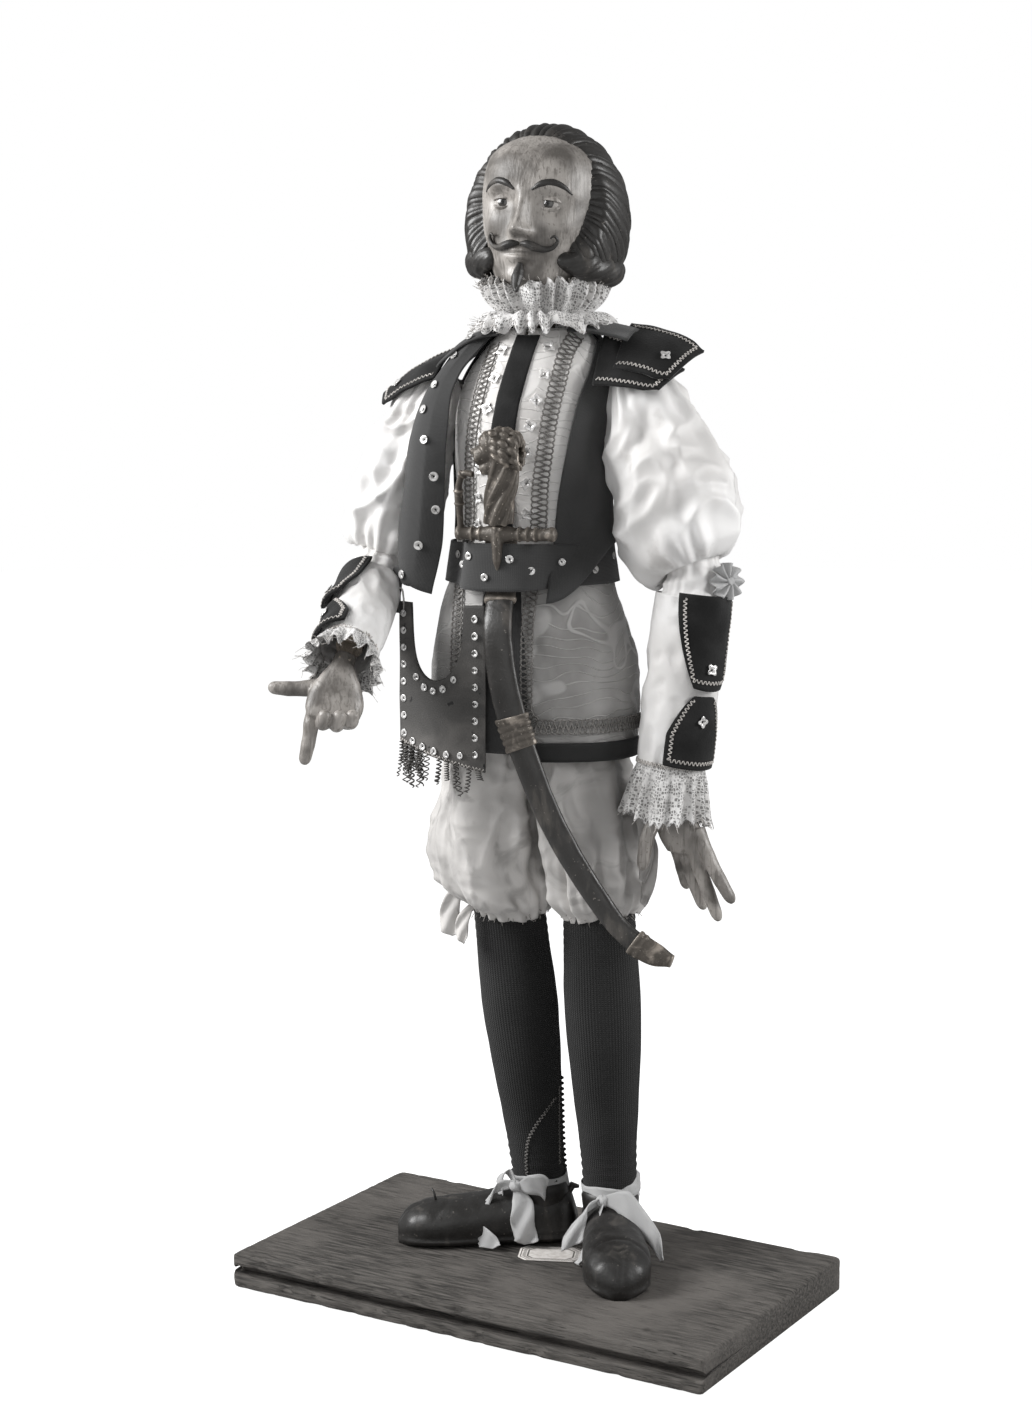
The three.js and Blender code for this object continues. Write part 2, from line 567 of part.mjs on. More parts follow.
// The scabbard's own body stops short inside its metal end.
function scabbard() {
  const all = sabreStations(0, 9);
  all.push(between(all[9], sabreStations(10, 10)[0], 0.12));
  const [first, second] = [all[0], all[1]];
  all[0] = between(first, second, 0.1);
  return limb(all, ACROSS_SABRE);
}
function scabbardBand() {
  const places = sabreStations(4, 6);
  const stations = [between(places[0], places[1], 0.45), places[1], between(places[1], places[2], 0.3)];
  const thicker = (grow) => stations.map(({ at, r, d }) => ({ at, r: r + grow, d: d + grow }));
  return shell(limbRings(thicker(1.7), ACROSS_SABRE), limbRings(thicker(0.35), ACROSS_SABRE));
}
function chape() {
  const [a, b, c] = sabreStations(9, 11);
  const start = between(a, b, 0.16);
  return limb([{ ...start, r: 8, d: 4.8 }, { ...b, r: 6.8, d: 4.4 }, { ...c, r: 5, d: 3.6 }], ACROSS_SABRE);
}
const GUARD_Z = 474;
const GUARD_Y = -53;
const crossguard = () => limb([
  { at: vec(-36, GUARD_Y, GUARD_Z - 1), r: 3.6 }, { at: vec(-24, GUARD_Y, GUARD_Z), r: 3.6 },
  { at: vec(-10, GUARD_Y, GUARD_Z + 0.5), r: 4.6, d: 6 }, { at: vec(10, GUARD_Y, GUARD_Z), r: 3.4 },
  { at: vec(27, GUARD_Y, GUARD_Z - 1), r: 2.6 },
], { across: UP, n: 10 });
// The grip is carved as a beast's neck, and its head, with a jutting muzzle, is the pommel.
function grip() {
  const neck = limb([
    { at: vec(-9, GUARD_Y, GUARD_Z + 6.5), r: 8, d: 6.5 }, { at: vec(-8, -55, 492), r: 8.5, d: 7 },
    { at: vec(-5, -57, 508), r: 9.5, d: 8 }, { at: vec(-5, -59, 522), r: 10, d: 8.5 },
    { at: vec(-9, -60, 531), r: 8, d: 7 }, { at: vec(-11, -60, 535), r: 4, d: 4 },
  ], { n: 12 });
  const muzzle = limb([
    { at: vec(-8, -60, 524), r: 7, d: 6.5 }, { at: vec(-19, -61, 518), r: 5.5, d: 5.5 },
    { at: vec(-24, -61, 515), r: 4, d: 4.4 },
  ], { across: UP, n: 10 });
  return join(neck, muzzle);
}
// The knuckle bow runs from below the muzzle to the end of the guard.
const knuckleBow = () => limb([
  { at: vec(-23, -61, 508), r: 2.6, d: 2.8 }, { at: vec(-28, -60, 509), r: 2.8 },
  { at: vec(-31.5, -58, 504), r: 2.8 },
  { at: vec(-32, -56, 492), r: 2.6 }, { at: vec(-32, -54, GUARD_Z + 4.6), r: 2.6 },
], { across: vec(0, 1, 0), n: 8 });
add("sabre_crossguard", crossguard(), "bronze_paint");
add("sabre_grip", grip(), "bronze_paint");
add("sabre_knuckle_bow", knuckleBow(), "bronze_paint");
add("scabbard", scabbard(), "scabbard_paint");
add("scabbard_band", scabbardBand(), "bronze_paint");
add("scabbard_chape", chape(), "bronze_paint");

// ---- Neck and head ---------------------------------------------------------------------------------------

const NECK = vec(2, 0, 0);
const neckAt = (z, x = 0, y = 0) => vec(NECK.x + x, y, z);
const nodPin = (r = PIN_R, long = 28) => rod(neckAt(NOD_Z, -long / 2), neckAt(NOD_Z, long / 2), r, 10);
const neckPeg = () => cut(
  join(rod(neckAt(557), neckAt(614), 8, 16), rod(neckAt(NECK_TOP_Z - 1.5), neckAt(NECK_TOP_Z + 1.2), 12, 16)),
  nodPin(PIN_R + GAP, 60),
);
// Height, forward shift, half width and half depth of the head with its carved hair.
const HEAD = [
  [599, 3, 15, 15], [607, 2, 17, 18], [612, 0, 27, 29], [619, -1, 38, 38], [632, 0, 45, 44],
  [650, 1, 49.5, 47], [668, 1, 48.5, 48], [685, 1, 44, 46], [699, 2, 35, 39], [709, 3, 22, 26],
  [715, 4, 7, 9],
];
const HEAD_X = 3;
function head() {
  const skull = loft(HEAD.map(([z, y, rx, ry]) => ring(neckAt(z, HEAD_X, y), rx, ry, { n: 20 })));
  const nose = limb([
    { at: neckAt(668, 0, -44), r: 4, d: 4 }, { at: neckAt(652, 0, -49), r: 6, d: 5.5 },
    { at: neckAt(645, 0, -47), r: 7, d: 4 },
  ], { n: 8 });
  const moustache = limb([
    { at: neckAt(646, -22, -42), r: 2.2 }, { at: neckAt(640, -12, -46), r: 3.6 },
    { at: neckAt(641, 0, -48), r: 3.6 },
    { at: neckAt(640, 12, -46), r: 3.6 }, { at: neckAt(646, 22, -42), r: 2.2 },
  ], { across: UP, n: 8 });
  const goatee = limb([
    { at: neckAt(636, 0, -42), r: 4 }, { at: neckAt(627, 0, -42), r: 6, d: 5 },
    { at: neckAt(619, 0, -41), r: 3 },
  ], { n: 8 });
  const hole = rod(neckAt(597), neckAt(620), 11.6, 16);
  return cut(join(skull, nose, moustache, goatee), hole, nodPin(PIN_R + GAP, 60));
}
add("neck_peg", neckPeg(), "carved_wood");
add("nod_pin", nodPin(), "steel");
add("head", head(), "flesh_paint");

// ---- Arms ------------------------------------------------------------------------------------------------

// A shoulder link turns in the torso on its axle, and the arm lifts on a cross pin through its eye.
const EYE_HALF = 2.5;
function shoulderLink(side) {
  const x = (d) => vec(side.sign * d, 0, 560);
  const centre = Math.abs(side.shoulder.x);
  const axle = rod(x(28), x(centre - 12), AXLE_R);
  const plate = boxAt([14, 2 * EYE_HALF, 7], x(centre - 7));
  const eye = rod(x(centre).add(vec(0, -EYE_HALF, 0)), x(centre).add(vec(0, EYE_HALF, 0)), 6);
  return cut(join(axle, plate, eye), raisePin(side, PIN_R + GAP, 20));
}
const raisePin = (side, r, long) =>
  rod(side.shoulder.clone().add(vec(0, -long / 2, 0)), side.shoulder.clone().add(vec(0, long / 2, 0)), r, 10);
const BONE_R = 9;
const TONGUE = 7;
const alongArm = (side, d) => side.shoulder.clone().addScaledVector(side.armWay, d);
// The elbow's axis, the way across it, and the limb's own way back up, square to each other.
const elbowBasis = (side, way) => {
  const z = way.clone().projectOnPlane(side.elbowAxis).normalize().negate();
  return [side.elbowAxis.clone(), z.clone().cross(side.elbowAxis), z];
};
const elbowPin = (side, r = PIN_R, long = 16) => rod(
  side.elbow.clone().addScaledVector(side.elbowAxis, -long / 2),
  side.elbow.clone().addScaledVector(side.elbowAxis, long / 2), r, 10,
);
function upperArm(side) {
  const body = limb([
    { at: alongArm(side, -7), r: 6 }, { at: alongArm(side, 0), r: BONE_R },
    { at: alongArm(side, 70), r: BONE_R },
    { at: alongArm(side, ARM_LENGTH), r: BONE_R }, { at: alongArm(side, ARM_LENGTH + 7), r: 6 },
  ], { across: side.elbowAxis, n: 12 });
  const slot = boxAt([60, 2 * EYE_HALF + 2 * GAP, 30], side.shoulder.clone().add(vec(0, 0, 15 - 9)));
  const basis = elbowBasis(side, side.armWay);
  const fork = boxAt([TONGUE + 4 * GAP, 40, 34], side.elbow.clone().addScaledVector(basis[2], -6), basis);
  const bone = cut(body, slot, fork, elbowPin(side, PIN_R + GAP, 40));
  return join(bone, raisePin(side, PIN_R, 14));
}
// The puffed sleeve, gathered at both ends, lies against the side of the trunk.
function puffSleeve(side) {
  const rings = (grow) => side.armPuff.map(([d, r]) =>
    ring(alongArm(side, d).add(vec(side.sign * side.puffOut, 0, 0)), r + grow, r + grow));
  const trunk = loft(levels(430, 580, 12).map((z) => trunkRing(z, 6)));
  return cut(shell(rings(0), rings(-CLOTH)), trunk, ...armHoles());
}
const forearmFrame = (side) =>
  new THREE.Matrix4().makeBasis(...elbowBasis(side, side.forearmWay)).setPosition(side.elbow);
// In this frame the forearm and all it wears hang down -Z from the elbow, and +X is the elbow's axis.
const down = (d, x = 0, y = 0) => vec(x, y, -d);
function forearm(side) {
  const body = limb([
    { at: down(13), r: BONE_R }, { at: down(50), r: 10 }, { at: down(side.forearm - 12), r: 8 },
  ], { n: 12 });
  const tongue = boxAt([TONGUE, 12, 24], down(8));
  const tip = boxAt([TONGUE, 8, 22], down(side.forearm - 6));
  const pin = (d, r) => rod(down(d, -30), down(d, 30), r, 10);
  return cut(join(body, tongue, tip), pin(0, PIN_R + GAP), pin(side.forearm, PIN_R + GAP));
}
// The lower sleeve is a tube round the forearm, a little narrower at its two ends.
const sleeveR = (side, d) => side.sleeveR * (1 - 0.1 * ((2 * d - side.forearm) / side.forearm) ** 2);
const lowerSleeve = (side) => shell(...[0, -CLOTH].map((grow) => levels(...side.sleeveSpan, 4).map((d) => {
  const r = sleeveR(side, d) + grow;
  return ring(down(d), r, r);
})));
// A velvet flap lies on the outside of the sleeve, from one distance down the arm to another.
const sleeveFlap = (side, from, to, half, narrow) => slab((u, v, face) => {
  const d = from + (to - from) * v;
  const spread = half * (1 - narrow * v);
  const a = THREE.MathUtils.degToRad(side.flapTurn + spread * (2 * u - 1));
  const grow = sleeveR(side, d) + 0.8 + 1.4 * face;
  return down(d, grow * Math.cos(a), grow * Math.sin(a));
}, 6, 4);
const laceCuff = (side) => shell(...[0, -CLOTH].map((grow) => levels(0, 1, 3).map((t) => {
  const r = side.sleeveR - 1.5 + 4 * t + grow;
  return ring(down(side.sleeveSpan[1] + 0.5 + side.cuffSpan * t), r, r);
})));
// The hand hangs from the wrist pin, which is fast in it. Each finger is a list of places.
const finger = (points, r) =>
  limb(points.map((p, k) => ({ at: p, r: r * (1 - 0.1 * k) })), { across: vec(0, 1, 0), n: 6 });
const HANDS = {
  right: {
    palm: [[6, 1, 0, 8, 8], [12, 2, 0, 11, 8], [24, 3, 0, 17, 8], [38, 3, 0, 15, 7]],
    fingers: [
      [vec(-6, 3, -20), vec(-22, 7, -25), vec(-36, 10, -28)],
      [vec(-7, 1, -34), vec(-5, 6, -48), vec(-3, 12, -64)],
      [vec(0, -1, -35), vec(0, -9, -43), vec(0, -17, -38)],
      [vec(8, -1, -34), vec(8, -9, -41), vec(8, -16, -35)],
      [vec(14, -1, -31), vec(15, -8, -37), vec(15, -14, -32)],
    ],
  },
  left: {
    palm: [[6, 1, 0, 8, 8], [14, 3, 0, 11, 8], [32, 7, 0, 13, 7.5], [46, 14, 0, 15, 6.5]],
    fingers: [
      [vec(1, -3, -18), vec(-7, -8, -42), vec(-8, -9, -64)],
      [vec(24, -3, -41), vec(35, -6, -58), vec(48, -6, -75)],
      [vec(19, -1, -44), vec(29, -2, -66), vec(40, -1, -88)],
      [vec(13, 1, -44), vec(20, 4, -65), vec(29, 7, -84)],
      [vec(6, 2, -41), vec(11, 8, -58), vec(16, 12, -74)],
    ],
  },
};
function hand(name) {
  const { palm, fingers } = HANDS[name];
  const body = loft(palm.map(([d, x, y, rx, ry]) => ring(down(d, x, y), rx, ry, { n: 12, power: 2.3 })));
  const ears = rod(down(-5), down(8), 7.5, 14);
  const solid = cut(join(body, ears, ...fingers.map((points) => finger(points, 5))),
    boxAt([TONGUE + 2 * GAP, 40, 29], down(-5.5)));
  return join(solid, rod(down(0, -7), down(0, 7), PIN_R, 10));
}
for (const [name, side] of Object.entries(SIDES)) {
  add(`${name}_shoulder_link`, shoulderLink(side), "steel");
  add(`${name}_upper_arm`, upperArm(side), "carved_wood");
  add(`${name}_elbow_pin`, elbowPin(side), "steel");
  add(`${name}_puff_sleeve`, puffSleeve(side), "white_satin");
  const arm = new THREE.Group();
  arm.applyMatrix4(forearmFrame(side));
  figure.add(arm);
  add(`${name}_forearm`, forearm(side), "carved_wood", arm);
  add(`${name}_lower_sleeve`, lowerSleeve(side), "white_satin", arm);
  const [top, bottom] = side.sleeveSpan;
  const middle = (top + bottom) / 2;
  add(`${name}_elbow_flap`, sleeveFlap(side, top, middle - 2, 48, 0.5), "black_velvet", arm);
  add(`${name}_wrist_flap`, sleeveFlap(side, middle + 8, bottom, 40, -0.3), "black_velvet", arm);
  add(`${name}_lace_cuff`, laceCuff(side), "lace", arm);
  const wrist = new THREE.Group();
  wrist.position.set(0, 0, -side.forearm);
  wrist.rotation.x = THREE.MathUtils.degToRad(side.wristBend);
  arm.add(wrist);
  add(`${name}_hand`, hand(name), "flesh_paint", wrist);
}

export default part;
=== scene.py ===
"""The looks of a carved cavalier marionette on a plank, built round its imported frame.

Shapes are worked out in millimetres in the figure's own frame (x to its left, -y its front, z up) and
are turned into the row frame, in metres, when a piece is made.
"""

import math
import random

import bmesh
import bpy
import numpy as np
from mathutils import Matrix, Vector, noise


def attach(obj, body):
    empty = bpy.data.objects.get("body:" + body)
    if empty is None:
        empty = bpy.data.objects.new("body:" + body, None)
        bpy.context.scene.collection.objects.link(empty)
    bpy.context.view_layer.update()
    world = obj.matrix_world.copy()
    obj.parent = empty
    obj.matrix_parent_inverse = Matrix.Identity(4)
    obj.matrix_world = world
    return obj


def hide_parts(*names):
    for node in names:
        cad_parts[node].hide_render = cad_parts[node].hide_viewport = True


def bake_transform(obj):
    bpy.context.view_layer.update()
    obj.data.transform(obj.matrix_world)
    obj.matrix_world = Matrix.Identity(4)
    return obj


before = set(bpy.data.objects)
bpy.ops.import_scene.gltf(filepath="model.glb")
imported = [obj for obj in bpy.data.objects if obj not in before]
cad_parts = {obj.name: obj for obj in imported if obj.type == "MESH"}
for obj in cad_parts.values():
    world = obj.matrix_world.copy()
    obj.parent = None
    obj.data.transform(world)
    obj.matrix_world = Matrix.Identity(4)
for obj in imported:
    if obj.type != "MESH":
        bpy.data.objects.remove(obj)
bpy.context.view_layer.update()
draw = random.Random(11)

MM = 0.001
FIGURE = np.array([-8.0, 16.0, 0.0])
YAW = math.radians(14)
TURN = np.array([[math.cos(YAW), -math.sin(YAW), 0], [math.sin(YAW), math.cos(YAW), 0], [0, 0, 1]])
GROUND = 22
TAU = 2 * math.pi


def from_figure(points):
    """Figure frame, mm, to the row frame, m."""
    return (np.asarray(points, float) @ TURN.T + FIGURE) * MM


def to_figure(points):
    """Back from the row frame in metres to the figure's own frame in millimetres."""
    x, y, z = (np.asarray(points, float) / MM).T
    x, y = x - FIGURE[0], y - FIGURE[1]
    return np.stack(
        [x * math.cos(YAW) + y * math.sin(YAW), y * math.cos(YAW) - x * math.sin(YAW), z], axis=-1
    )


def from_stand(points):
    """Plank frame, mm, to the row frame, m."""
    return np.asarray(points, float) * MM


def unit(v):
    """Vectors scaled to length 1."""
    v = np.asarray(v, float)
    return v / np.maximum(np.linalg.norm(v, axis=-1, keepdims=True), 1e-9)


def stack(*parts):
    """x, y and z arrays, or numbers, as one array of points."""
    return np.stack(np.broadcast_arrays(*parts), axis=-1).astype(float)


def bell(x, centre, width):
    """A smooth hump of height 1."""
    return np.exp(-(((x - centre) / width) ** 2))


def step(x, low, high):
    """0 below low, 1 above high, smooth between."""
    t = np.clip((x - low) / (high - low), 0, 1)
    return t * t * (3 - 2 * t)


def circle(a, r, z, x=0, y=0):
    """Places at angle a on level circles of radius r."""
    return stack(x + r * np.cos(a), y + r * np.sin(a), z)


def spoke(one, two, a, r):
    """Vectors of length r at angle a in the plane of two unit vectors."""
    return one * (r * np.cos(a))[..., None] + two * (r * np.sin(a))[..., None]


def corner(wave, power):
    """A cosine or sine to a power, with its sign: it gives a round section squarer or sharper corners."""
    return np.sign(wave) * np.abs(wave) ** power


def row_at(v, count):
    """The nearest of a number of rows, at a share of the way down them."""
    return np.round(v * (count - 1)).astype(int)


def rough(points, scale, seed=0):
    """Smooth noise at each point, about -1 to 1."""
    flat = points.reshape(-1, 3) / scale + seed * 17.3
    return np.array([noise.noise(Vector(p)) for p in flat]).reshape(points.shape[:-1])


def follow(table, place):
    """The values at each place, on smooth curves through a table of [place, value, ...] rows."""
    rows = np.asarray(table, float)
    x, y = rows[:, 0], rows[:, 1:]
    slope = np.gradient(y, x, axis=0)
    place = np.asarray(place, float)
    k = np.clip(np.searchsorted(x, place) - 1, 0, len(x) - 2)
    h = (x[k + 1] - x[k])[..., None]
    s = np.clip((place - x[k])[..., None] / h, 0, 1)
    rise = y[k + 1] - y[k]
    m0, m1 = slope[k] * h, slope[k + 1] * h
    return y[k] + s * m0 + s**2 * (3 * rise - 2 * m0 - m1) + s**3 * (m0 + m1 - 2 * rise)


def distances(points):
    """How far along a line each of its points lies."""
    return np.concatenate([[0], np.cumsum(np.linalg.norm(np.diff(points, axis=0), axis=1))])


def curve(points, count):
    """Evenly spaced points on a smooth line through a few."""
    place = distances(points)
    return follow(np.column_stack([place, points]), np.linspace(0, place[-1], count))


def carried(path, beside, count):
    """Evenly spaced points on a smooth line through a few, and unit vectors given beside them."""
    place = distances(path)
    both = follow(np.column_stack([place, path, beside]), np.linspace(0, place[-1], count))
    return both[:, :3], unit(both[:, 3:])


# ---- Meshes ----------------------------------------------------------------------------------------------


class Shape:
    """Points, faces and cloth coordinates of one piece, in millimetres."""

    def __init__(self):
        self.points, self.faces, self.uvs, self.flat = [], [], [], (0, 0)

    def add(self, points, faces, uvs=None):
        base = len(self.points)
        points = np.asarray(points, float).reshape(-1, 3)
        self.points.extend(points)
        self.faces.extend([[base + i for i in face] for face in faces])
        self.uvs.extend(np.zeros((len(points), 2)) if uvs is None else uvs)
        return self

    def join(self, other):
        """Adds another shape; the cloth of both counts as one strip of their area."""
        self.add(other.points, other.faces, other.uvs)
        area = self.flat[0] * self.flat[1] + other.flat[0] * other.flat[1]
        if area:
            length = min(self.flat[1] + other.flat[1], area / 0.01)
            self.flat = (area / length, length)
        return self


def grid_faces(nu, nv, closed, base=0, flip=False):
    """Faces over a grid of points, row by row."""
    faces = []
    for j in range(nv - 1):
        for i in range(nu if closed else nu - 1):
            k = (i + 1) % nu
            face = [
                base + j * nu + i, base + j * nu + k, base + (j + 1) * nu + k, base + (j + 1) * nu + i
            ]
            faces.append(face[::-1] if flip else face)
    return faces


def cloth_size(grid, closed):
    """Mean lengths of a grid's rows and columns, and each point's place on the flat cloth, in metres."""
    looped = np.concatenate([grid, grid[:, :1]], axis=1) if closed else grid
    rows = np.linalg.norm(np.diff(looped, axis=1), axis=2)
    columns = np.linalg.norm(np.diff(grid, axis=0), axis=2)
    width, length = rows.sum(axis=1).mean(), columns.sum(axis=0).mean()
    nv, nu = grid.shape[:2]
    u, v = np.meshgrid(np.arange(nu) / nu, np.arange(nv) / nv)
    uvs = np.stack([u * width, v * length], axis=-1).reshape(-1, 2) * MM
    return (width * MM, length * MM), uvs


def sheet(at, nu, nv, thick=0.9, closed=False):
    """A sheet of cloth with two faces and an edge, over the grid of points that at(u, v) gives."""
    u, v = np.meshgrid(np.linspace(0, 1, nu, endpoint=not closed), np.linspace(0, 1, nv))
    grid = at(u, v)
    along = np.roll(grid, -1, axis=1) - np.roll(grid, 1, axis=1) if closed else np.gradient(grid, axis=1)
    normal = unit(np.cross(along, np.gradient(grid, axis=0)))
    flat, uvs = cloth_size(grid, closed)
    shape = Shape()
    count = nu * nv
    faces = grid_faces(nu, nv, closed) + grid_faces(nu, nv, closed, count, True)
    edge = []
    if closed:
        edge += [(i, (i + 1) % nu) for i in range(nu)]
        edge += [((nv - 1) * nu + (i + 1) % nu, (nv - 1) * nu + i) for i in range(nu)]
    else:
        edge += [(i, i + 1) for i in range(nu - 1)]
        edge += [((nv - 1) * nu + i + 1, (nv - 1) * nu + i) for i in range(nu - 1)]
        edge += [((j + 1) * nu, j * nu) for j in range(nv - 1)]
        edge += [(j * nu + nu - 1, (j + 1) * nu + nu - 1) for j in range(nv - 1)]
    faces += [[b, a, a + count, b + count] for a, b in edge]
    both = np.concatenate([grid + normal * thick / 2, grid - normal * thick / 2]).reshape(-1, 3)
    shape.add(both, faces, np.concatenate([uvs, uvs]))
    shape.flat = (max(flat[0], 0.01), max(flat[1], 0.01))
    return shape


def solid(at, nu, nv):
    """A closed body over a grid that closes in u; its first and last rows are capped."""
    u, v = np.meshgrid(np.linspace(0, 1, nu, endpoint=False), np.linspace(0, 1, nv))
    grid = at(u, v)
    faces = grid_faces(nu, nv, True)
    faces += [[i, (i + 1) % nu, nu * nv] for i in range(nu)]
    faces += [[(nv - 1) * nu + (i + 1) % nu, (nv - 1) * nu + i, nu * nv + 1] for i in range(nu)]
    points = np.concatenate(
        [grid.reshape(-1, 3), grid[0].mean(axis=0)[None], grid[-1].mean(axis=0)[None]]
    )
    uvs = np.concatenate([cloth_size(grid, True)[1], np.zeros((2, 2))])
    return Shape().add(points, faces, uvs)


def frames_along(path, hint=None):
    """Two unit vectors square to a path at each point, without twist."""
    tangent = unit(np.gradient(path, axis=0))
    side = np.cross(tangent[0], [0, 0, 1.0] if hint is None else hint)
    if np.linalg.norm(side) < 1e-3:
        side = np.cross(tangent[0], [0, 1.0, 0])
    sides = []
    for t in tangent:
        side = unit(side - t * side.dot(t))
        sides.append(side)
    sides = np.array(sides)
    return sides, np.cross(tangent, sides)


def tube(path, radius, sides=6, flat=1.0, hint=None, ridges=0, ridge=0.0):
    """A round, or flattened, closed tube along a path, with an optional number of carved ridges."""
    path = np.asarray(path, float)
    side, up = frames_along(path, hint)
    radius = np.broadcast_to(np.asarray(radius, float), len(path))[:, None, None]
    a = np.arange(sides) / sides * TAU
    wave = (1 + ridge * np.cos(ridges * a))[None, :, None]
    grid = path[:, None] + radius * wave * (
        side[:, None] * np.cos(a)[None, :, None] + flat * up[:, None] * np.sin(a)[None, :, None]
    )
    n = len(path)
    faces = grid_faces(sides, n, True)
    faces += [list(range(sides))[::-1], [(n - 1) * sides + i for i in range(sides)]]
    return Shape().add(grid.reshape(-1, 3), faces, cloth_size(grid, True)[1])


def ribbon(path, across, width, thick=0.5, rows=7, ripple=0.0, notch=0.0):
    """A flat strip along a path; across gives the way its width runs at the start and at the end."""
    path = curve(path, 34)
    t = np.linspace(0, 1, len(path))
    way = unit(np.outer(1 - t, across[0]) + np.outer(t, across[1]))
    normal = unit(np.cross(way, np.gradient(path, axis=0)))
    widths = np.interp(t, np.linspace(0, 1, len(width)), width)

    def at(u, v):
        k = row_at(v, len(path))
        lateral = (u - 0.5) * widths[k]
        wave = ripple * np.sin(TAU * (u * 1.1 + v * 1.7)) * v
        cut = notch * np.abs(u - 0.5) * 2 * step(v, 0.8, 1)
        forward = unit(np.gradient(path, axis=0))[k]
        return path[k] + way[k] * lateral[..., None] + normal[k] * wave[..., None] + forward * cut[..., None]

    return sheet(at, rows, len(path), thick)


def dress(mesh, shape, place):
    """Gives a mesh its points, faces and cloth coordinates."""
    mesh.from_pydata([tuple(p) for p in place(shape.points)], [], shape.faces)
    layer = mesh.uv_layers.new(name="Cloth")
    corner = np.zeros(len(mesh.loops), int)
    mesh.loops.foreach_get("vertex_index", corner)
    layer.data.foreach_set("uv", np.asarray(shape.uvs, float)[corner].ravel())
    work = bmesh.new()
    work.from_mesh(mesh)
    bmesh.ops.recalc_face_normals(work, faces=work.faces)
    for face in work.faces:
        face.smooth = True
    work.to_mesh(mesh)
    work.free()
    mesh.update()


def settle(obj):
    """Applies an object's modifiers to its mesh."""
    graph = bpy.context.evaluated_depsgraph_get()
    mesh = bpy.data.meshes.new_from_object(obj.evaluated_get(graph))
    obj.modifiers.clear()
    obj.data = mesh


def piece(name, shape, material, body, nodes=(), place=from_figure, carve=0):
    obj = bpy.data.objects.new(name, bpy.data.meshes.new(name))
    bpy.context.scene.collection.objects.link(obj)
    dress(obj.data, shape, place)
    obj.data.materials.append(material)
    if carve:
        blocks = obj.modifiers.new("blocks", "REMESH")
        blocks.mode, blocks.voxel_size, blocks.use_smooth_shade = "VOXEL", carve * MM, True
        soft = obj.modifiers.new("soft", "SMOOTH")
        soft.factor, soft.iterations = 0.5, 4
        settle(obj)
    if nodes:
        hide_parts(*nodes)
    if body:
        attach(obj, body)
    return obj


def bend(pieces, first, second, start, end):
    """Bakes each piece's transform into its mesh, without bending it; first and second, the joint's two
    bodies, and start and end, two places in the row frame, have no effect.
    """
    for obj in pieces:
        tuple(start)
        tuple(end)
        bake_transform(obj)


# ---- Materials -------------------------------------------------------------------------------------------


class Look:
    """A material whose node tree is built one node at a time on a Principled shader."""

    def __init__(self, name, **sockets):
        self.material = bpy.data.materials.new(name)
        self.material.use_nodes = True
        self.tree = self.material.node_tree
        self.shader = self.tree.nodes["Principled BSDF"]
        for socket, value in sockets.items():
            self.shader.inputs[socket.replace("_", " ")].default_value = value
        self.place = self.node("ShaderNodeTexCoord").outputs["Object"]
        self.cloth = self.node("ShaderNodeUVMap", uv_map="Cloth").outputs["UV"]

    def node(self, kind, inputs=(), **settings):
        made = self.tree.nodes.new(kind)
        for key, value in settings.items():
            setattr(made, key, value)
        for key, value in dict(inputs).items():
            self.give(made.inputs[key], value)
        return made

    def give(self, socket, value):
        if isinstance(value, bpy.types.NodeSocket):
            self.tree.links.new(value, socket)
        else:
            socket.default_value = value

    def stretched(self, scale, source=None, turn=(0, 0, 0)):
        inputs = {"Vector": source or self.place, "Scale": scale, "Rotation": turn}
        return self.node("ShaderNodeMapping", inputs).outputs["Vector"]

    def noise(self, scale, source=None, detail=4.0, distortion=0.0):
        inputs = {
            "Vector": source or self.place, "Scale": scale, "Detail": detail, "Distortion": distortion
        }
        return self.node("ShaderNodeTexNoise", inputs).outputs["Fac"]

    def cells(self, scale, source=None, feature="F1", random_place=1.0):
        inputs = {"Vector": source or self.place, "Scale": scale, "Randomness": random_place}
        return self.node("ShaderNodeTexVoronoi", inputs, feature=feature).outputs["Distance"]

    def wave(self, scale, source=None, direction="X", distortion=0.0, detail=2.0, kind="BANDS"):
        inputs = {
            "Vector": source or self.place, "Scale": scale, "Distortion": distortion, "Detail": detail
        }
        settings = {"wave_type": kind, f"{kind.lower()}_direction": direction}
        return self.node("ShaderNodeTexWave", inputs, **settings).outputs["Fac"]

    def math(self, operation, a, b=0.0):
        return self.node("ShaderNodeMath", {0: a, 1: b}, operation=operation).outputs[0]

    def between(self, value, low, high, out_low=0.0, out_high=1.0):
        inputs = {
            "Value": value, "From Min": low, "From Max": high, "To Min": out_low, "To Max": out_high
        }
        return self.node("ShaderNodeMapRange", inputs, interpolation_type="SMOOTHSTEP").outputs["Result"]

    def blend(self, share, a, b, how="MIX"):
        made = self.node("ShaderNodeMix", data_type="RGBA", blend_type=how)
        for key, value in (("Factor_Float", share), ("A_Color", a), ("B_Color", b)):
            socket = next(s for s in made.inputs if s.identifier == key)
            self.give(
                socket, grey(value) if isinstance(value, float) and key != "Factor_Float" else value
            )
        return next(s for s in made.outputs if s.identifier == "Result_Color")

    def finish(self, colour, roughness=None, height=None, depth=0.0003, strength=1.0):
        self.give(self.shader.inputs["Base Color"], colour)
        if roughness is not None:
            self.give(self.shader.inputs["Roughness"], roughness)
        if height is not None:
            inputs = {"Height": height, "Distance": depth, "Strength": strength}
            bumped = self.node("ShaderNodeBump", inputs).outputs["Normal"]
            self.give(self.shader.inputs["Normal"], bumped)
        return self.material


def grey(value, warmth=0.0):
    """A near-neutral colour, a little warmer than grey."""
    return (value * (1 + warmth), value, value * (1 - warmth), 1)


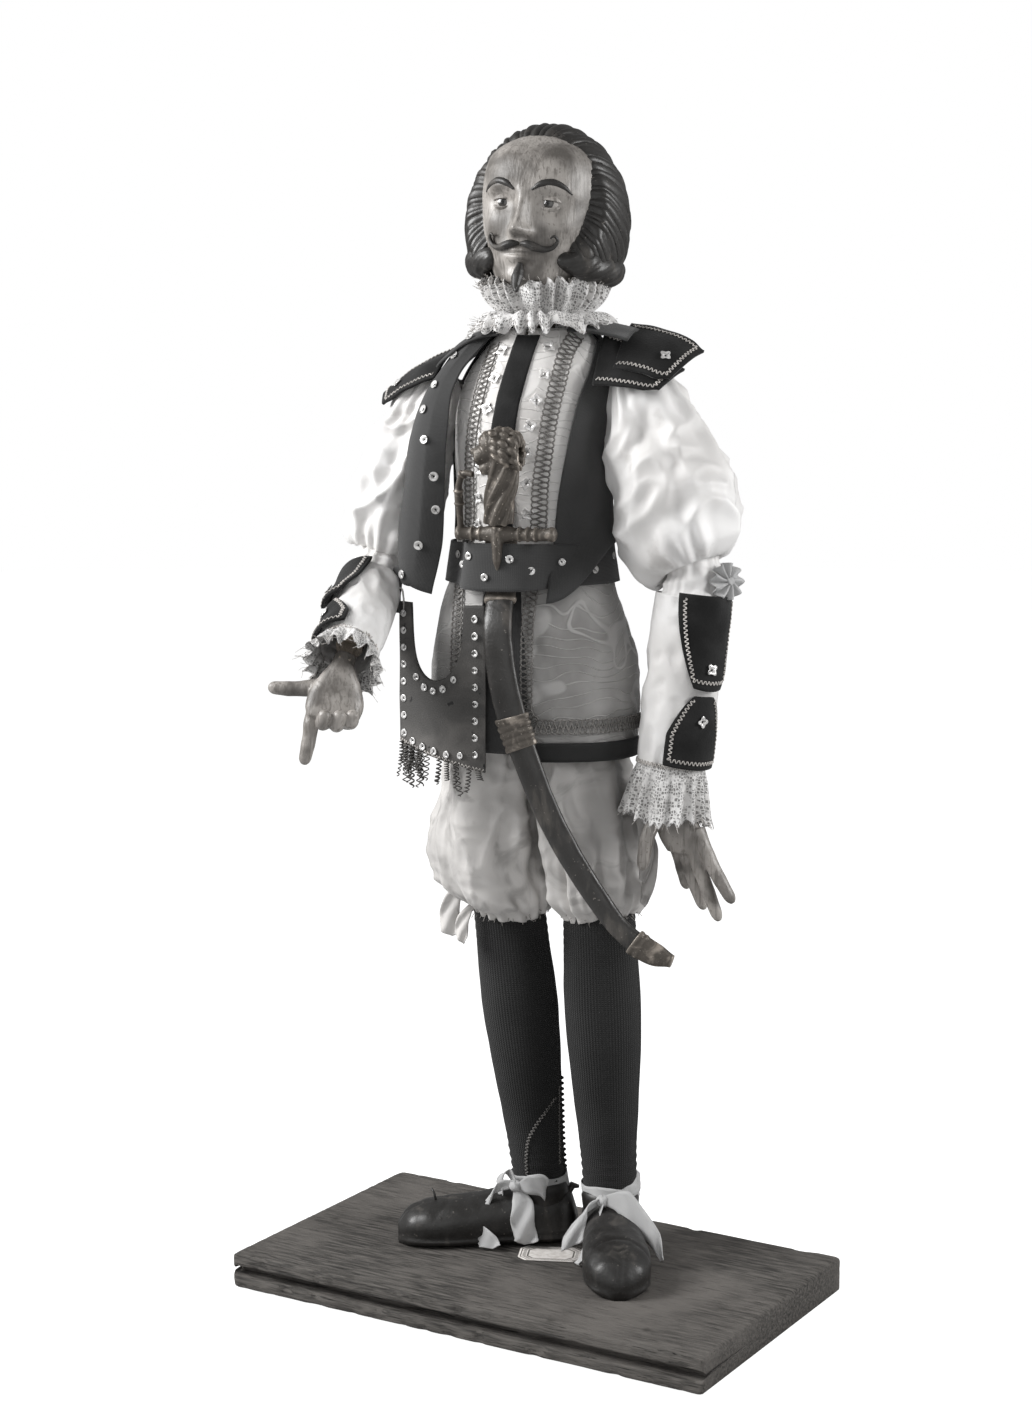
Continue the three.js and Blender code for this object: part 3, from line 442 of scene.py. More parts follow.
def plank_wood():
    look = Look("weathered plank", Specular_IOR_Level=0.3)
    grain = look.stretched((9, 95, 95))
    fibre = look.noise(6, grain, 8, 0.6)
    fine = look.noise(40, look.stretched((5, 110, 60)), 6)
    patch = look.noise(14, detail=5)
    crack = look.between(look.noise(11, look.stretched((4, 150, 120)), 3), 0.30, 0.36)
    tone = look.blend(look.between(fibre, 0.3, 0.7), grey(0.030, 0.08), grey(0.125, 0.08))
    tone = look.blend(look.between(patch, 0.42, 0.75), tone, grey(0.13, 0.08))
    tone = look.blend(crack, grey(0.02, 0.1), tone)
    stain = look.between(look.cells(26), 0.0, 0.12)
    tone = look.blend(stain, grey(0.045, 0.1), tone)
    height = look.math("ADD", look.math("MULTIPLY", fibre, 0.6), look.math("MULTIPLY", fine, 0.4))
    height = look.math("MULTIPLY", height, crack)
    return look.finish(tone, look.between(fibre, 0.2, 0.8, 0.55, 0.85), height, 0.0012)


def bare_wood():
    look = Look("limewood", Specular_IOR_Level=0.35)
    fibre = look.noise(30, look.stretched((60, 60, 6)), 6, 0.4)
    tone = look.blend(look.between(fibre, 0.3, 0.7), grey(0.16, 0.18), grey(0.34, 0.16))
    return look.finish(tone, look.between(fibre, 0.2, 0.8, 0.5, 0.75), fibre, 0.0005)


def flesh_paint():
    """Pale paint over wood: rubbed bare in patches, with fine upright streaks from the grain."""
    look = Look("worn flesh paint", Coat_Weight=0.18, Coat_Roughness=0.35)
    streak = look.noise(5, look.stretched((120, 120, 8)), 4, 0.3)
    patch = look.noise(38, detail=6, distortion=0.5)
    speck = look.noise(420, detail=3)
    tone = look.blend(look.between(patch, 0.36, 0.64), grey(0.095, 0.10), grey(0.34, 0.07))
    tone = look.blend(look.between(streak, 0.50, 0.66, 0.0, 0.6), tone, grey(0.085, 0.12))
    tone = look.blend(look.between(speck, 0.60, 0.72, 0.0, 0.6), tone, grey(0.12, 0.12))
    height = look.math("ADD", streak, look.math("MULTIPLY", speck, 0.5))
    return look.finish(tone, look.between(patch, 0.3, 0.7, 0.55, 0.38), height, 0.00035)


def dark_paint(name, low, high, gloss, size=1.0):
    """Dark paint over carved wood, with a few worn lighter rubs."""
    look = Look(name, Coat_Weight=0.25, Coat_Roughness=0.3)
    rub = look.noise(90 / size, look.stretched((1, 1, 0.35)), 6, 0.5)
    speck = look.noise(500 / size, detail=4)
    tone = look.blend(look.between(rub, 0.55, 0.72), grey(low, 0.1), grey(high, 0.12))
    tone = look.blend(look.between(speck, 0.66, 0.72), tone, grey(min(0.4, high * 2.2), 0.1))
    return look.finish(tone, look.between(rub, 0.3, 0.7, gloss, gloss + 0.25), speck, 0.00025)


def woven(name, tone, low, high, scale, sheen=0.0, depth=0.00015, rough_low=0.75, rough_high=0.9):
    """A plain weave of two thread systems, with a slow change of tone over the cloth."""
    look = Look(name, Sheen_Weight=sheen, Sheen_Roughness=0.4, Specular_IOR_Level=0.3)
    warp = look.wave(scale, look.cloth, "X")
    weft = look.wave(scale, look.cloth, "Y")
    weave = look.math("MULTIPLY", warp, weft)
    slow = look.noise(22, detail=5)
    colour = look.blend(look.between(slow, 0.3, 0.7), grey(tone * low), grey(tone * high))
    colour = look.blend(look.between(weave, 0.0, 1.0, 0.35, 0.0), colour, grey(tone * 0.45))
    return look.finish(colour, look.between(slow, 0.3, 0.7, rough_low, rough_high), weave, depth)


def satin():
    look = Look("white satin", Sheen_Weight=0.15, Sheen_Roughness=0.3, Specular_IOR_Level=0.55)
    thread = look.wave(700, look.cloth, "X", 0.4)
    slow = look.noise(18, detail=4)
    stain = look.noise(55, detail=6)
    colour = look.blend(look.between(slow, 0.35, 0.65), grey(0.74, 0.02), grey(0.90, 0.01))
    colour = look.blend(look.between(stain, 0.60, 0.74, 0.0, 0.5), colour, grey(0.52, 0.04))
    return look.finish(colour, look.between(slow, 0.3, 0.7, 0.34, 0.5), thread, 0.00008)


def silk():
    """Thin pale silk, creased and a little soiled, with shade painted darker on its creases."""
    look = Look("pale silk", Sheen_Weight=0.25, Sheen_Roughness=0.35, Specular_IOR_Level=0.4)
    crease = look.noise(30, detail=7, distortion=1.6)
    thread = look.wave(620, look.cloth, "Y", 0.5)
    slow = look.noise(14, detail=3)
    colour = look.blend(look.between(slow, 0.3, 0.7), grey(0.38, 0.03), grey(0.68, 0.03))
    # Painted shade: the creases that the same noise raises in the bump are painted darker, towards grey
    # 0.22.
    colour = look.blend(look.between(crease, 0.50, 0.66, 0.0, 0.55), colour, grey(0.22, 0.04))
    height = look.math("ADD", look.math("MULTIPLY", crease, 1.0), look.math("MULTIPLY", thread, 0.06))
    return look.finish(colour, look.between(slow, 0.3, 0.7, 0.45, 0.6), height, 0.0012, 0.8)


def brocade(name, low, high):
    """Light silk with a woven pattern of large scrolls and leaves."""
    look = Look(name, Sheen_Weight=0.2, Sheen_Roughness=0.3, Specular_IOR_Level=0.45)
    bend = look.node("ShaderNodeTexNoise", {"Vector": look.cloth, "Scale": 26, "Detail": 1.0})
    moved = look.node(
        "ShaderNodeVectorMath", {0: bend.outputs["Color"], 1: (0.03, 0.03, 0)}, operation="MULTIPLY"
    )
    moved = look.node(
        "ShaderNodeVectorMath", {0: moved.outputs[0], 1: look.cloth}, operation="ADD"
    ).outputs[0]
    scroll = look.wave(24, moved, "X", 6.0, 1.0, "RINGS")
    leaf = look.cells(46, moved, "SMOOTH_F1")
    thread = look.wave(520, look.cloth, "Y", 0.6)
    outline = look.math("ABSOLUTE", look.math("SUBTRACT", scroll, 0.55))
    vein = look.math("ABSOLUTE", look.math("SUBTRACT", leaf, 0.36))
    figure = look.math("MAXIMUM", look.between(outline, 0.14, 0.03), look.between(vein, 0.06, 0.015))
    slow = look.noise(18, detail=5)
    ground = look.blend(look.between(slow, 0.3, 0.7), grey(low, 0.03), grey(high, 0.02))
    colour = look.blend(look.math("MULTIPLY", figure, 0.6), ground, grey(high * 1.1, 0.02))
    height = look.math("ADD", figure, look.math("MULTIPLY", thread, 0.3))
    return look.finish(colour, look.between(figure, 0.0, 1.0, 0.6, 0.36), height, 0.00045)


def knit():
    look = Look("black knit", Sheen_Weight=0.08, Sheen_Roughness=0.5, Specular_IOR_Level=0.2)
    rib = look.wave(190, look.cloth, "X", 0.3)
    loop = look.wave(240, look.cloth, "Y", 0.8)
    stitch = look.math("MULTIPLY", rib, loop)
    slow = look.noise(12, detail=4)
    colour = look.blend(look.between(slow, 0.3, 0.7), grey(0.022), grey(0.040))
    colour = look.blend(look.between(stitch, 0.2, 0.9, 0.5, 0.0), colour, grey(0.008))
    return look.finish(colour, 0.9, stitch, 0.0006)


def velvet():
    look = Look("black velvet", Sheen_Weight=0.15, Sheen_Roughness=0.35, Specular_IOR_Level=0.15)
    pile = look.noise(900, detail=3)
    slow = look.noise(35, detail=5)
    colour = look.blend(look.between(slow, 0.3, 0.7), grey(0.014), grey(0.032))
    return look.finish(colour, 0.95, pile, 0.0003)


def net():
    """Frayed cotton net: fine meshes that show dark through the white threads."""
    look = Look("cotton net", Sheen_Weight=0.4, Sheen_Roughness=0.6, Specular_IOR_Level=0.2)
    mesh = look.cells(560, look.cloth, "DISTANCE_TO_EDGE", 0.55)
    thread = look.between(mesh, 0.10, 0.26, 1.0, 0.0)
    fuzz = look.noise(160, detail=6)
    slow = look.noise(45, detail=4)
    bright = look.blend(look.between(slow, 0.3, 0.7), grey(0.62, 0.02), grey(0.88, 0.01))
    cover = look.math("MAXIMUM", thread, look.between(fuzz, 0.50, 0.66))
    colour = look.blend(cover, grey(0.22, 0.03), bright)
    return look.finish(colour, 0.9, cover, 0.0006)


def leather():
    look = Look("dark leather", Specular_IOR_Level=0.35)
    grain = look.cells(700, feature="DISTANCE_TO_EDGE")
    scuff = look.noise(40, detail=7, distortion=0.6)
    colour = look.blend(look.between(scuff, 0.4, 0.72), grey(0.060, 0.04), grey(0.115, 0.05))
    colour = look.blend(look.between(look.noise(120, detail=3), 0.66, 0.72), colour, grey(0.015))
    return look.finish(colour, look.between(scuff, 0.3, 0.7, 0.62, 0.8), grain, 0.0002)


def bronze():
    """Brown-black paint with bronze powder, rubbed bright on the high places."""
    look = Look("aged bronze paint", Metallic=0.35, Specular_IOR_Level=0.5)
    rub = look.noise(110, detail=7, distortion=0.7)
    fine = look.noise(600, detail=4)
    edge = look.node("ShaderNodeNewGeometry").outputs["Pointiness"]
    worn = look.math(
        "ADD", look.between(edge, 0.50, 0.60, 0.0, 0.5), look.between(rub, 0.52, 0.74, 0.0, 0.6)
    )
    colour = look.blend(worn, grey(0.07, 0.15), grey(0.44, 0.14))
    colour = look.blend(look.between(fine, 0.64, 0.74), colour, grey(0.42, 0.12))
    return look.finish(colour, look.between(rub, 0.3, 0.7, 0.6, 0.36), fine, 0.0003)


def metal(name, tone, gloss):
    look = Look(name, Metallic=0.85)
    tarnish = look.noise(140, detail=6)
    brush = look.noise(900, detail=2)
    colour = look.blend(look.between(tarnish, 0.38, 0.7), grey(tone, 0.02), grey(tone * 0.45, 0.06))
    return look.finish(colour, look.between(tarnish, 0.3, 0.7, gloss, gloss + 0.25), brush, 0.0001)


def thread(name, tone):
    look = Look(name, Metallic=0.15, Specular_IOR_Level=0.4)
    twist = look.noise(1500, detail=2)
    slow = look.noise(60, detail=4)
    colour = look.blend(look.between(slow, 0.3, 0.7), grey(tone * 0.6, 0.05), grey(tone, 0.05))
    colour = look.blend(look.between(twist, 0.45, 0.6), colour, grey(tone * 0.4, 0.05))
    return look.finish(colour, 0.6, twist, 0.0003)


def sequin_film(name, low, high):
    look = Look(name, Coat_Weight=0.6, Coat_Roughness=0.15, Metallic=0.25)
    shade = look.noise(260, detail=3)
    colour = look.blend(look.between(shade, 0.35, 0.65), grey(low, 0.02), grey(high, 0.01))
    return look.finish(colour, 0.25, shade, 0.0002)


def eye_paint():
    """White, a dark iris and a black pupil, by the distance from the middle of the eye."""
    look = Look("eye paint", Coat_Weight=0.8, Coat_Roughness=0.08)
    centre = look.node("ShaderNodeVectorMath", {0: look.cloth}, operation="LENGTH").outputs["Value"]
    fleck = look.noise(700, detail=3)
    iris = look.blend(fleck, grey(0.015), grey(0.07, 0.1))
    white = look.blend(look.noise(90), grey(0.30, 0.06), grey(0.50, 0.05))
    colour = look.blend(look.between(centre, 0.00325, 0.0036), iris, white)
    colour = look.blend(look.between(centre, 0.0013, 0.0016), grey(0.004), colour)
    return look.finish(colour, 0.25, fleck, 0.00005)


def label_paper():
    """Cream paper with a dark double border; its cloth coordinates run from -1 to 1 across the border."""
    look = Look("label paper", Specular_IOR_Level=0.3)
    out = look.node("ShaderNodeSeparateXYZ", {"Vector": look.cloth}).outputs
    fibre = look.noise(300, detail=5)
    ground = look.blend(look.between(fibre, 0.3, 0.7), grey(0.55, 0.06), grey(0.74, 0.04))
    line = look.math("MAXIMUM", ring_of(look, out["Y"], 0.71, 0.03), ring_of(look, out["Y"], 0.93, 0.02))
    dots = look.math("MULTIPLY", ring_of(look, out["Y"], 0.82, 0.06), look.wave(9.6, look.cloth, "X"))
    ink = look.math("MAXIMUM", line, dots)
    colour = look.blend(look.math("MULTIPLY", ink, 0.9), ground, grey(0.05, 0.1))
    return look.finish(colour, 0.85, fibre, 0.0002)


def ring_of(look, value, centre, half):
    """1 where a value is near the centre, 0 elsewhere."""
    away = look.math("ABSOLUTE", look.math("SUBTRACT", value, centre))
    return look.between(away, half * 0.7, half, 1.0, 0.0)


PLANK_WOOD = plank_wood()
LIMEWOOD = bare_wood()
FLESH = flesh_paint()
HAIR = dark_paint("dark hair paint", 0.016, 0.050, 0.42)
SHOE = dark_paint("dark shoe paint", 0.010, 0.038, 0.42)
SCABBARD = dark_paint("scabbard paint", 0.016, 0.06, 0.34)
BRONZE = bronze()
SATIN = satin()
SILK = silk()
# One brocade in two copies: the skirts' copy is painted darker, as painted shade, and the doublet's copy
# lighter, as painted light.
SHADED_SKIRT_BROCADE = brocade("skirt brocade with painted shade", 0.24, 0.46)
LIT_DOUBLET_BROCADE = brocade("doublet brocade with painted light", 0.74, 0.90)
CLOTH = woven("dark cloth", 0.060, 0.8, 1.15, 420, sheen=0.2)
RIBBON = woven("dark ribbon", 0.020, 0.8, 1.2, 600, sheen=0.1, rough_low=0.5, rough_high=0.65)
KNIT = knit()
VELVET = velvet()
NET = net()
LEATHER = leather()
STEEL = metal("steel", 0.55, 0.3)
TRIM = thread("tarnished silver cord", 0.75)
GIMP = thread("grey gimp braid", 0.26)
FRINGE = thread("metal thread", 0.14)
STITCH = thread("black thread", 0.03)
COTTON = thread("white thread", 0.85)
SEQUIN = sequin_film("sequin film", 0.55, 0.86)
BRIGHT_SEQUIN = sequin_film("bright sequin film", 0.82, 0.97)

# ---- Small trim ------------------------------------------------------------------------------------------

# From a place on the figure, right across the picture and straight towards the viewer.
ACROSS = np.array([0.956, 0.294, 0.0])
TOWARDS = np.array([0.294, -0.956, 0.0])


def seen(base, across, towards, z):
    """A place beside a base point, by how far it lies across and towards the viewer, at a height."""
    return np.array([base[0], base[1], 0.0]) + ACROSS * across + TOWARDS * towards + [0, 0, z]


def surface_frame(normal, along=(0, 0, 1)):
    normal = unit(normal)
    across = unit(np.cross(along, normal))
    return across, np.cross(normal, across), normal


def sequin(place, normal, radius, petals=0, turn=0.0):
    """A cupped disc with a hole, round or with petals."""
    across, up, out = surface_frame(normal)
    a = np.arange(24) / 24 * TAU
    rim = radius * (1 + (0.24 * np.cos(petals * a) if petals else 0))
    lift = 0.28 * radius
    rows = [(0.24, 0.05), (0.6, 0.05), (1.0, lift), (1.02, lift - 0.25), (0.62, -0.25), (0.24, -0.25)]
    grid = []
    for share, high in rows:
        r = (rim if share > 0.5 else radius) * share
        grid.append(np.asarray(place) + spoke(across, up, a + turn, r) + out * (high + 0.3))
    return Shape().add(grid, wrapped_faces(24, len(rows)))


def wrapped_faces(nu, nv):
    """Faces of a grid that closes both ways."""
    return [
        [j * nu + i, j * nu + (i + 1) % nu, (j + 1) % nv * nu + (i + 1) % nu, (j + 1) % nv * nu + i]
        for j in range(nv)
        for i in range(nu)
    ]


def sequins(name, body, places, radius, petals=0, film=SEQUIN):
    """Sequins at (place, normal) pairs, each held by a stitch of black thread from its hole to its rim."""
    discs, stitches = Shape(), Shape()
    for place, normal in places:
        turn = draw.uniform(0, TAU)
        discs.join(sequin(place, normal, radius * draw.uniform(0.93, 1.05), petals, turn))
        across, up, out = surface_frame(normal)
        way = across * math.cos(turn * 3) + up * math.sin(turn * 3)
        stitch = [
            np.asarray(place) + way * radius * s + out * h for s, h in (
                (-0.12, 0.1), (0.4, 0.75), (1.0, 0.75), (1.1, 0)
            )
        ]
        stitches.join(tube(curve(stitch, 7), 0.16, 5))
    return [
        piece(name, discs, film, body),
        piece(f"{name}_stitches", stitches, STITCH, body),
    ]


def braid(path, normals, wide, pitch, radius=0.55):
    """Scrolled gimp: one cord laid in loops from side to side along a path."""
    count = int(distances(path)[-1] / pitch * 16)
    line, out = carried(path, normals, count)
    t = np.arange(count) / 16 * TAU
    along = unit(np.gradient(line, axis=0))
    side = np.cross(out, along)
    loops = side * (wide / 2 * np.cos(t))[:, None] + along * (pitch * 0.36 * np.sin(2 * t))[:, None]
    lift = out * (radius * (0.9 + 0.5 * np.cos(2 * t)))[:, None]
    return tube(line + loops + lift, radius, 5)


def zigzag(path, normals, wide=2.0, pitch=2.4, radius=0.34):
    """Narrow cord laid in a zigzag along a path."""
    count = max(8, int(distances(path)[-1] / pitch * 6))
    line, out = carried(path, normals, count)
    side = np.cross(out, unit(np.gradient(line, axis=0)))
    wave = wide / 2 * np.sin(np.arange(count) / 6 * TAU)
    return tube(line + side * wave[:, None] + out * radius, radius, 5)


def fray(places, ways, long, radius=0.16):
    """Loose thread ends: a short bent thread at each place."""
    shape = Shape()
    for place, way in zip(places, ways):
        way = unit(np.asarray(way, float) + [draw.uniform(-0.7, 0.7) for _ in range(3)])
        bend = np.array([draw.uniform(-1, 1) for _ in range(3)]) * long * 0.3
        reach = long * draw.uniform(0.4, 1.0)
        points = [place, place + way * reach * 0.5 + bend * 0.5, place + way * reach + bend * 0.4]
        shape.join(tube(curve(points, 5), radius, 4))
    return shape


# ---- The stand -------------------------------------------------------------------------------------------

PLANK = {"length": 330, "width": 190, "thick": 22, "groove": 9, "low": 7.5, "high": 14}


def rounded(corners, radius, gap):
    """A closed outline with rounded corners and points no more than a gap apart."""
    corners = np.asarray(corners, float)
    points = []
    for k, point in enumerate(corners):
        following = corners[(k + 1) % len(corners)]
        start = point + unit(corners[k - 1] - point) * radius
        end = point + unit(following - point) * radius
        for t in np.linspace(0, 1, 5):
            points.append(start * (1 - t) ** 2 + 2 * point * t * (1 - t) + end * t**2)
        reach = following + unit(point - following) * radius
        count = int(np.linalg.norm(reach - end) / gap)
        points += [end + (reach - end) * i / (count + 1) for i in range(1, count + 1)]
    return np.array(points)


def plank():
    """The plank, worn at its edges."""
    half, thick, deep = PLANK["width"] / 2, PLANK["thick"], PLANK["groove"]
    outline = rounded(
        [
            (-half, 0), (half, 0), (half, thick), (-half, thick), (-half, PLANK["high"]),
            (-half + deep, PLANK["high"] - 1), (-half + deep, PLANK["low"] + 1), (-half, PLANK["low"]),
        ],
        1.6, 2.5,
    )
    end = PLANK["length"] / 2
    lip = [0, 0.3, 1.0, 2.2, 4.0]
    xs = np.array(
        [-end + d for d in lip] + list(np.linspace(-end + 6, end - 6, 130)) + [end - d for d in lip[::-1]]
    )
    inset = np.array([2.4, 1.3, 0.6, 0.2, 0] + [0] * 130 + [0, 0.2, 0.6, 1.3, 2.4])
    middle = np.array([0, thick / 2])

    def at(u, v):
        k = np.round(u * len(outline)).astype(int) % len(outline)
        j = row_at(v, len(xs))
        flat = outline[k]
        away = flat - middle
        shrunk = flat - np.sign(away) * np.minimum(inset[j][..., None], np.abs(away))
        points = stack(xs[j], shrunk[..., 0], shrunk[..., 1])
        edge = bell(np.abs(flat[..., 0]), half, 2.5)
        chip = np.maximum(0, rough(points, 9, 3) - 0.15) * 3.2 + np.maximum(0, rough(points, 30, 5)) * 1.2
        groove = rough(points * [0.12, 1, 1], 2.2, 1) * 0.28
        top = step(flat[..., 1], thick - 1, thick)
        points[..., 1] -= np.sign(flat[..., 0]) * edge * chip
        points[..., 2] += (groove - 0.25) * top - edge * top * chip * 0.5
        return points

    piece(
        "plank", solid(at, len(outline), len(xs)), PLANK_WOOD, "figure", ["base_plank"],
        place=from_stand
    )


LABEL = {"x": 8, "y": 5, "turn": math.radians(24), "half": (20, 12.5), "corner": 5}


def label():
    """The paper label on the front of the plank."""
    (a, b), c = LABEL["half"], LABEL["corner"]
    octagon = rounded(
        [
            (-a, -b + c), (-a + c, -b), (a - c, -b), (a, -b + c), (a, b - c), (a - c, b), (-a + c, b),
            (-a, b - c)
        ], 0.6, 1.5
    )
    rows = [
        (0.0, 0.5), (0.3, 0.5), (0.66, 0.5), (0.86, 0.55), (1.0, 0.6), (1.0, 0.1), (0.6, 0.02),
        (0.0, 0.02)
    ]

    def at(u, v):
        k = np.round(u * len(octagon)).astype(int) % len(octagon)
        j = row_at(v, len(rows))
        share, high = np.array(rows)[j, 0], np.array(rows)[j, 1]
        x, y = (octagon[k] * share[..., None]).transpose(2, 0, 1)
        c1, s1 = math.cos(LABEL["turn"]), math.sin(LABEL["turn"])
        return stack(LABEL["x"] + x * c1 - y * s1, LABEL["y"] + x * s1 + y * c1, GROUND + high)

    shape = solid(at, len(octagon), len(rows))
    run = np.arange(len(octagon)) / len(octagon) * 40 / TAU
    shape.uvs = [(x, row[0]) for row in rows for x in run] + [(0, 0), (0, 0)]
    piece("label", shape, label_paper(), "figure", ["paper_label"], place=from_stand)


# ---- Legs ------------------------------------------------------------------------------------------------

ANKLE_Z = 62
LEGS = {
    "right": {"ankle": (-3, 14), "knee": (-19, 5), "toe_out": -69, "scuff": 3},
    "left": {"ankle": (45, 7), "knee": (39, 2), "toe_out": 19, "scuff": 8},
}
KNEE_Z = 225
SHOE_ROWS = [
    [-24, 6, 18], [-21, 13, 28], [-12, 16.5, 34], [0, 17.5, 36], [12, 18, 35], [26, 18.4, 32],
    [45, 20, 28.5], [62, 20.8, 26.5], [76, 18.5, 24], [85, 13.5, 19.5], [90, 6, 13],
]
CALF = [[52, 14.5], [62, 15.7], [85, 17], [130, 20.5], [180, 23.3], [214, 22.3], [246, 21.5]]


def leg_middle(side, z):
    """The x and y of a leg's middle at a height."""
    t = (np.asarray(z, float) - ANKLE_Z) / (KNEE_Z - ANKLE_Z)
    ankle, knee = np.array(LEGS[side]["ankle"]), np.array(LEGS[side]["knee"])
    return ankle[0] + (knee[0] - ankle[0]) * t, ankle[1] + (knee[1] - ankle[1]) * t


def leg_point(side, degrees, z, grow=0.0):
    """A place on the stocking, at an angle from the viewer's side, positive to the right."""
    x, y = leg_middle(side, z)
    r = follow(CALF, z)[..., 0] + grow
    a = np.radians(degrees)
    out = np.sin(a)[..., None] * ACROSS + np.cos(a)[..., None] * TOWARDS
    return stack(x, y, z) + out * r[..., None], out


def shoe(side):
    """One shoe with its sole."""
    leg = LEGS[side]
    turn = math.radians(leg["toe_out"])

    def at(u, v):
        along = -24 + 114 * v
        half, high = np.moveaxis(follow(SHOE_ROWS, along), -1, 0)
        c, s = np.cos(u * TAU), np.sin(u * TAU)
        power = np.where(s < 0, 4.5, 2.3)
        x = half * corner(c, 2 / power)
        z = high / 2 * (1 + corner(s, 2 / power))
        welt = bell(z, 6.5, 1.3) * 1.1 - bell(z, 3.5, 2.2) * 0.7
        toe_seam = bell(along, 58 + x * x * 0.03, 1.3) * step(z, 12, 20) * 0.7
        x = x * (1 - welt / half)
        carve = rough(stack(x, along, z), 7, leg["scuff"]) * 0.5
        z = z - toe_seam - bell(x, 0, 2) * step(along, 60, 86) * 1.2 + carve * step(z, 8, 16)
        px = x * math.cos(turn) + along * math.sin(turn)
        py = x * math.sin(turn) - along * math.cos(turn)
        return stack(px + leg["ankle"][0], py + leg["ankle"][1], z + GROUND + 0.05)

    shape = solid(at, 56, 72)
    rows = np.array([[44, 15], [50, 17.6], [57, 18.2], [61, 17.6], [61.4, 16.4], [54, 15.4]])

    def rim(u, v):
        j = row_at(v, len(rows))
        x, y = leg_middle(side, rows[j, 0])
        return circle(u * TAU, rows[j, 1], rows[j, 0], x, y)

    shape.join(solid(rim, 40, len(rows)))
    heel = np.array([-math.sin(turn), math.cos(turn), 0])
    tab = np.array([*leg["ankle"], 0]) + heel * 17
    shape.join(
        tube(
            [tab + [0, 0, 50], tab + heel * 4 + [0, 0, 56], tab + heel * 8 + [0, 0, 55]], [5, 4.5, 2], 8,
            0.5
        )
    )
    if side == "right":
        nail = np.array([*leg["ankle"], GROUND + 25]) - heel * 66
        shape.join(tube([nail, nail + [-1.5, 1, 5], nail + [-3.5, 1.5, 8]], [0.9, 0.8, 0.6], 6))
    piece(f"{side}_carved_shoe", shape, SHOE, "figure", [f"{side}_shoe"])


def stocking(side):
    """A knitted stocking over the shin."""

    def at(u, v):
        z = 250 - 198 * v
        x, y = leg_middle(side, z)
        a = u * TAU
        sag = 0.45 * np.sin(z * 1.1 + 1.6 * np.sin(a * 2 + z * 0.05)) * (
            bell(z, 72, 16) + 0.6 * bell(z, 232, 14)
        )
        r = follow(CALF, z)[..., 0] + sag + 0.35 * rough(circle(a, 20, z), 16, len(side))
        return circle(a, r, z, x, y)

    shape = sheet(at, 64, 110, 1.2, closed=True)
    nodes = [f"{side}_stocking"]
    piece(
        f"{side}_knitted_stocking", shape, KNIT, "figure", nodes,
    )


def gaiter_trim():
    """The right stocking's split hem: beads along the seam and a zigzag cord round its curved edge."""
    beads = Shape()
    for z in np.linspace(128, 70, 17):
        place, out = leg_point("right", np.array(82.0), np.array(z), 0.9)
        beads.join(tube([place - out * 1.2, place, place + out * 1.2], [0.7, 1.25, 0.6], 8))
    piece("seam_beads", beads, STITCH, "figure")
    heights = np.array([118, 110, 101, 92, 80, 68])
    line, out = leg_point("right", np.array([50, 26, 4, -12, -22, -26]), heights, 0.8)
    edge, edge_out = leg_point("right", np.array([64, 62, 60, 58, 56, 52]), heights + 6, 0.8)
    cords = zigzag(line, out).join(zigzag(edge, edge_out, 1.6))
    piece("gaiter_cord", cords, GIMP, "figure")


def ankle_band(side):
    """A satin band round the ankle, crumpled where it is tied."""

    def at(u, v):
        z = 66 - 9 * v
        x, y = leg_middle(side, z)
        a = u * TAU
        r = 17.2 + 0.8 * np.sin(9 * a) * (v - 0.3) + 0.6 * np.sin(4 * a + 1)
        return circle(a, r, z + 1.2 * np.sin(3 * a), x, y)

    return sheet(at, 60, 6, 0.5, closed=True)


def knot(centre, size):
    """A small lump of cloth where strips are tied."""

    def at(u, v):
        a, b = u * TAU, (v - 0.5) * math.pi * 0.98
        r = size * (1 + 0.16 * np.cos(5 * a + 3 * b))
        return np.asarray(centre) + stack(
            r * np.cos(a) * np.cos(b), r * np.sin(a) * np.cos(b), 0.9 * r * np.sin(b)
        )

    return solid(at, 20, 12)


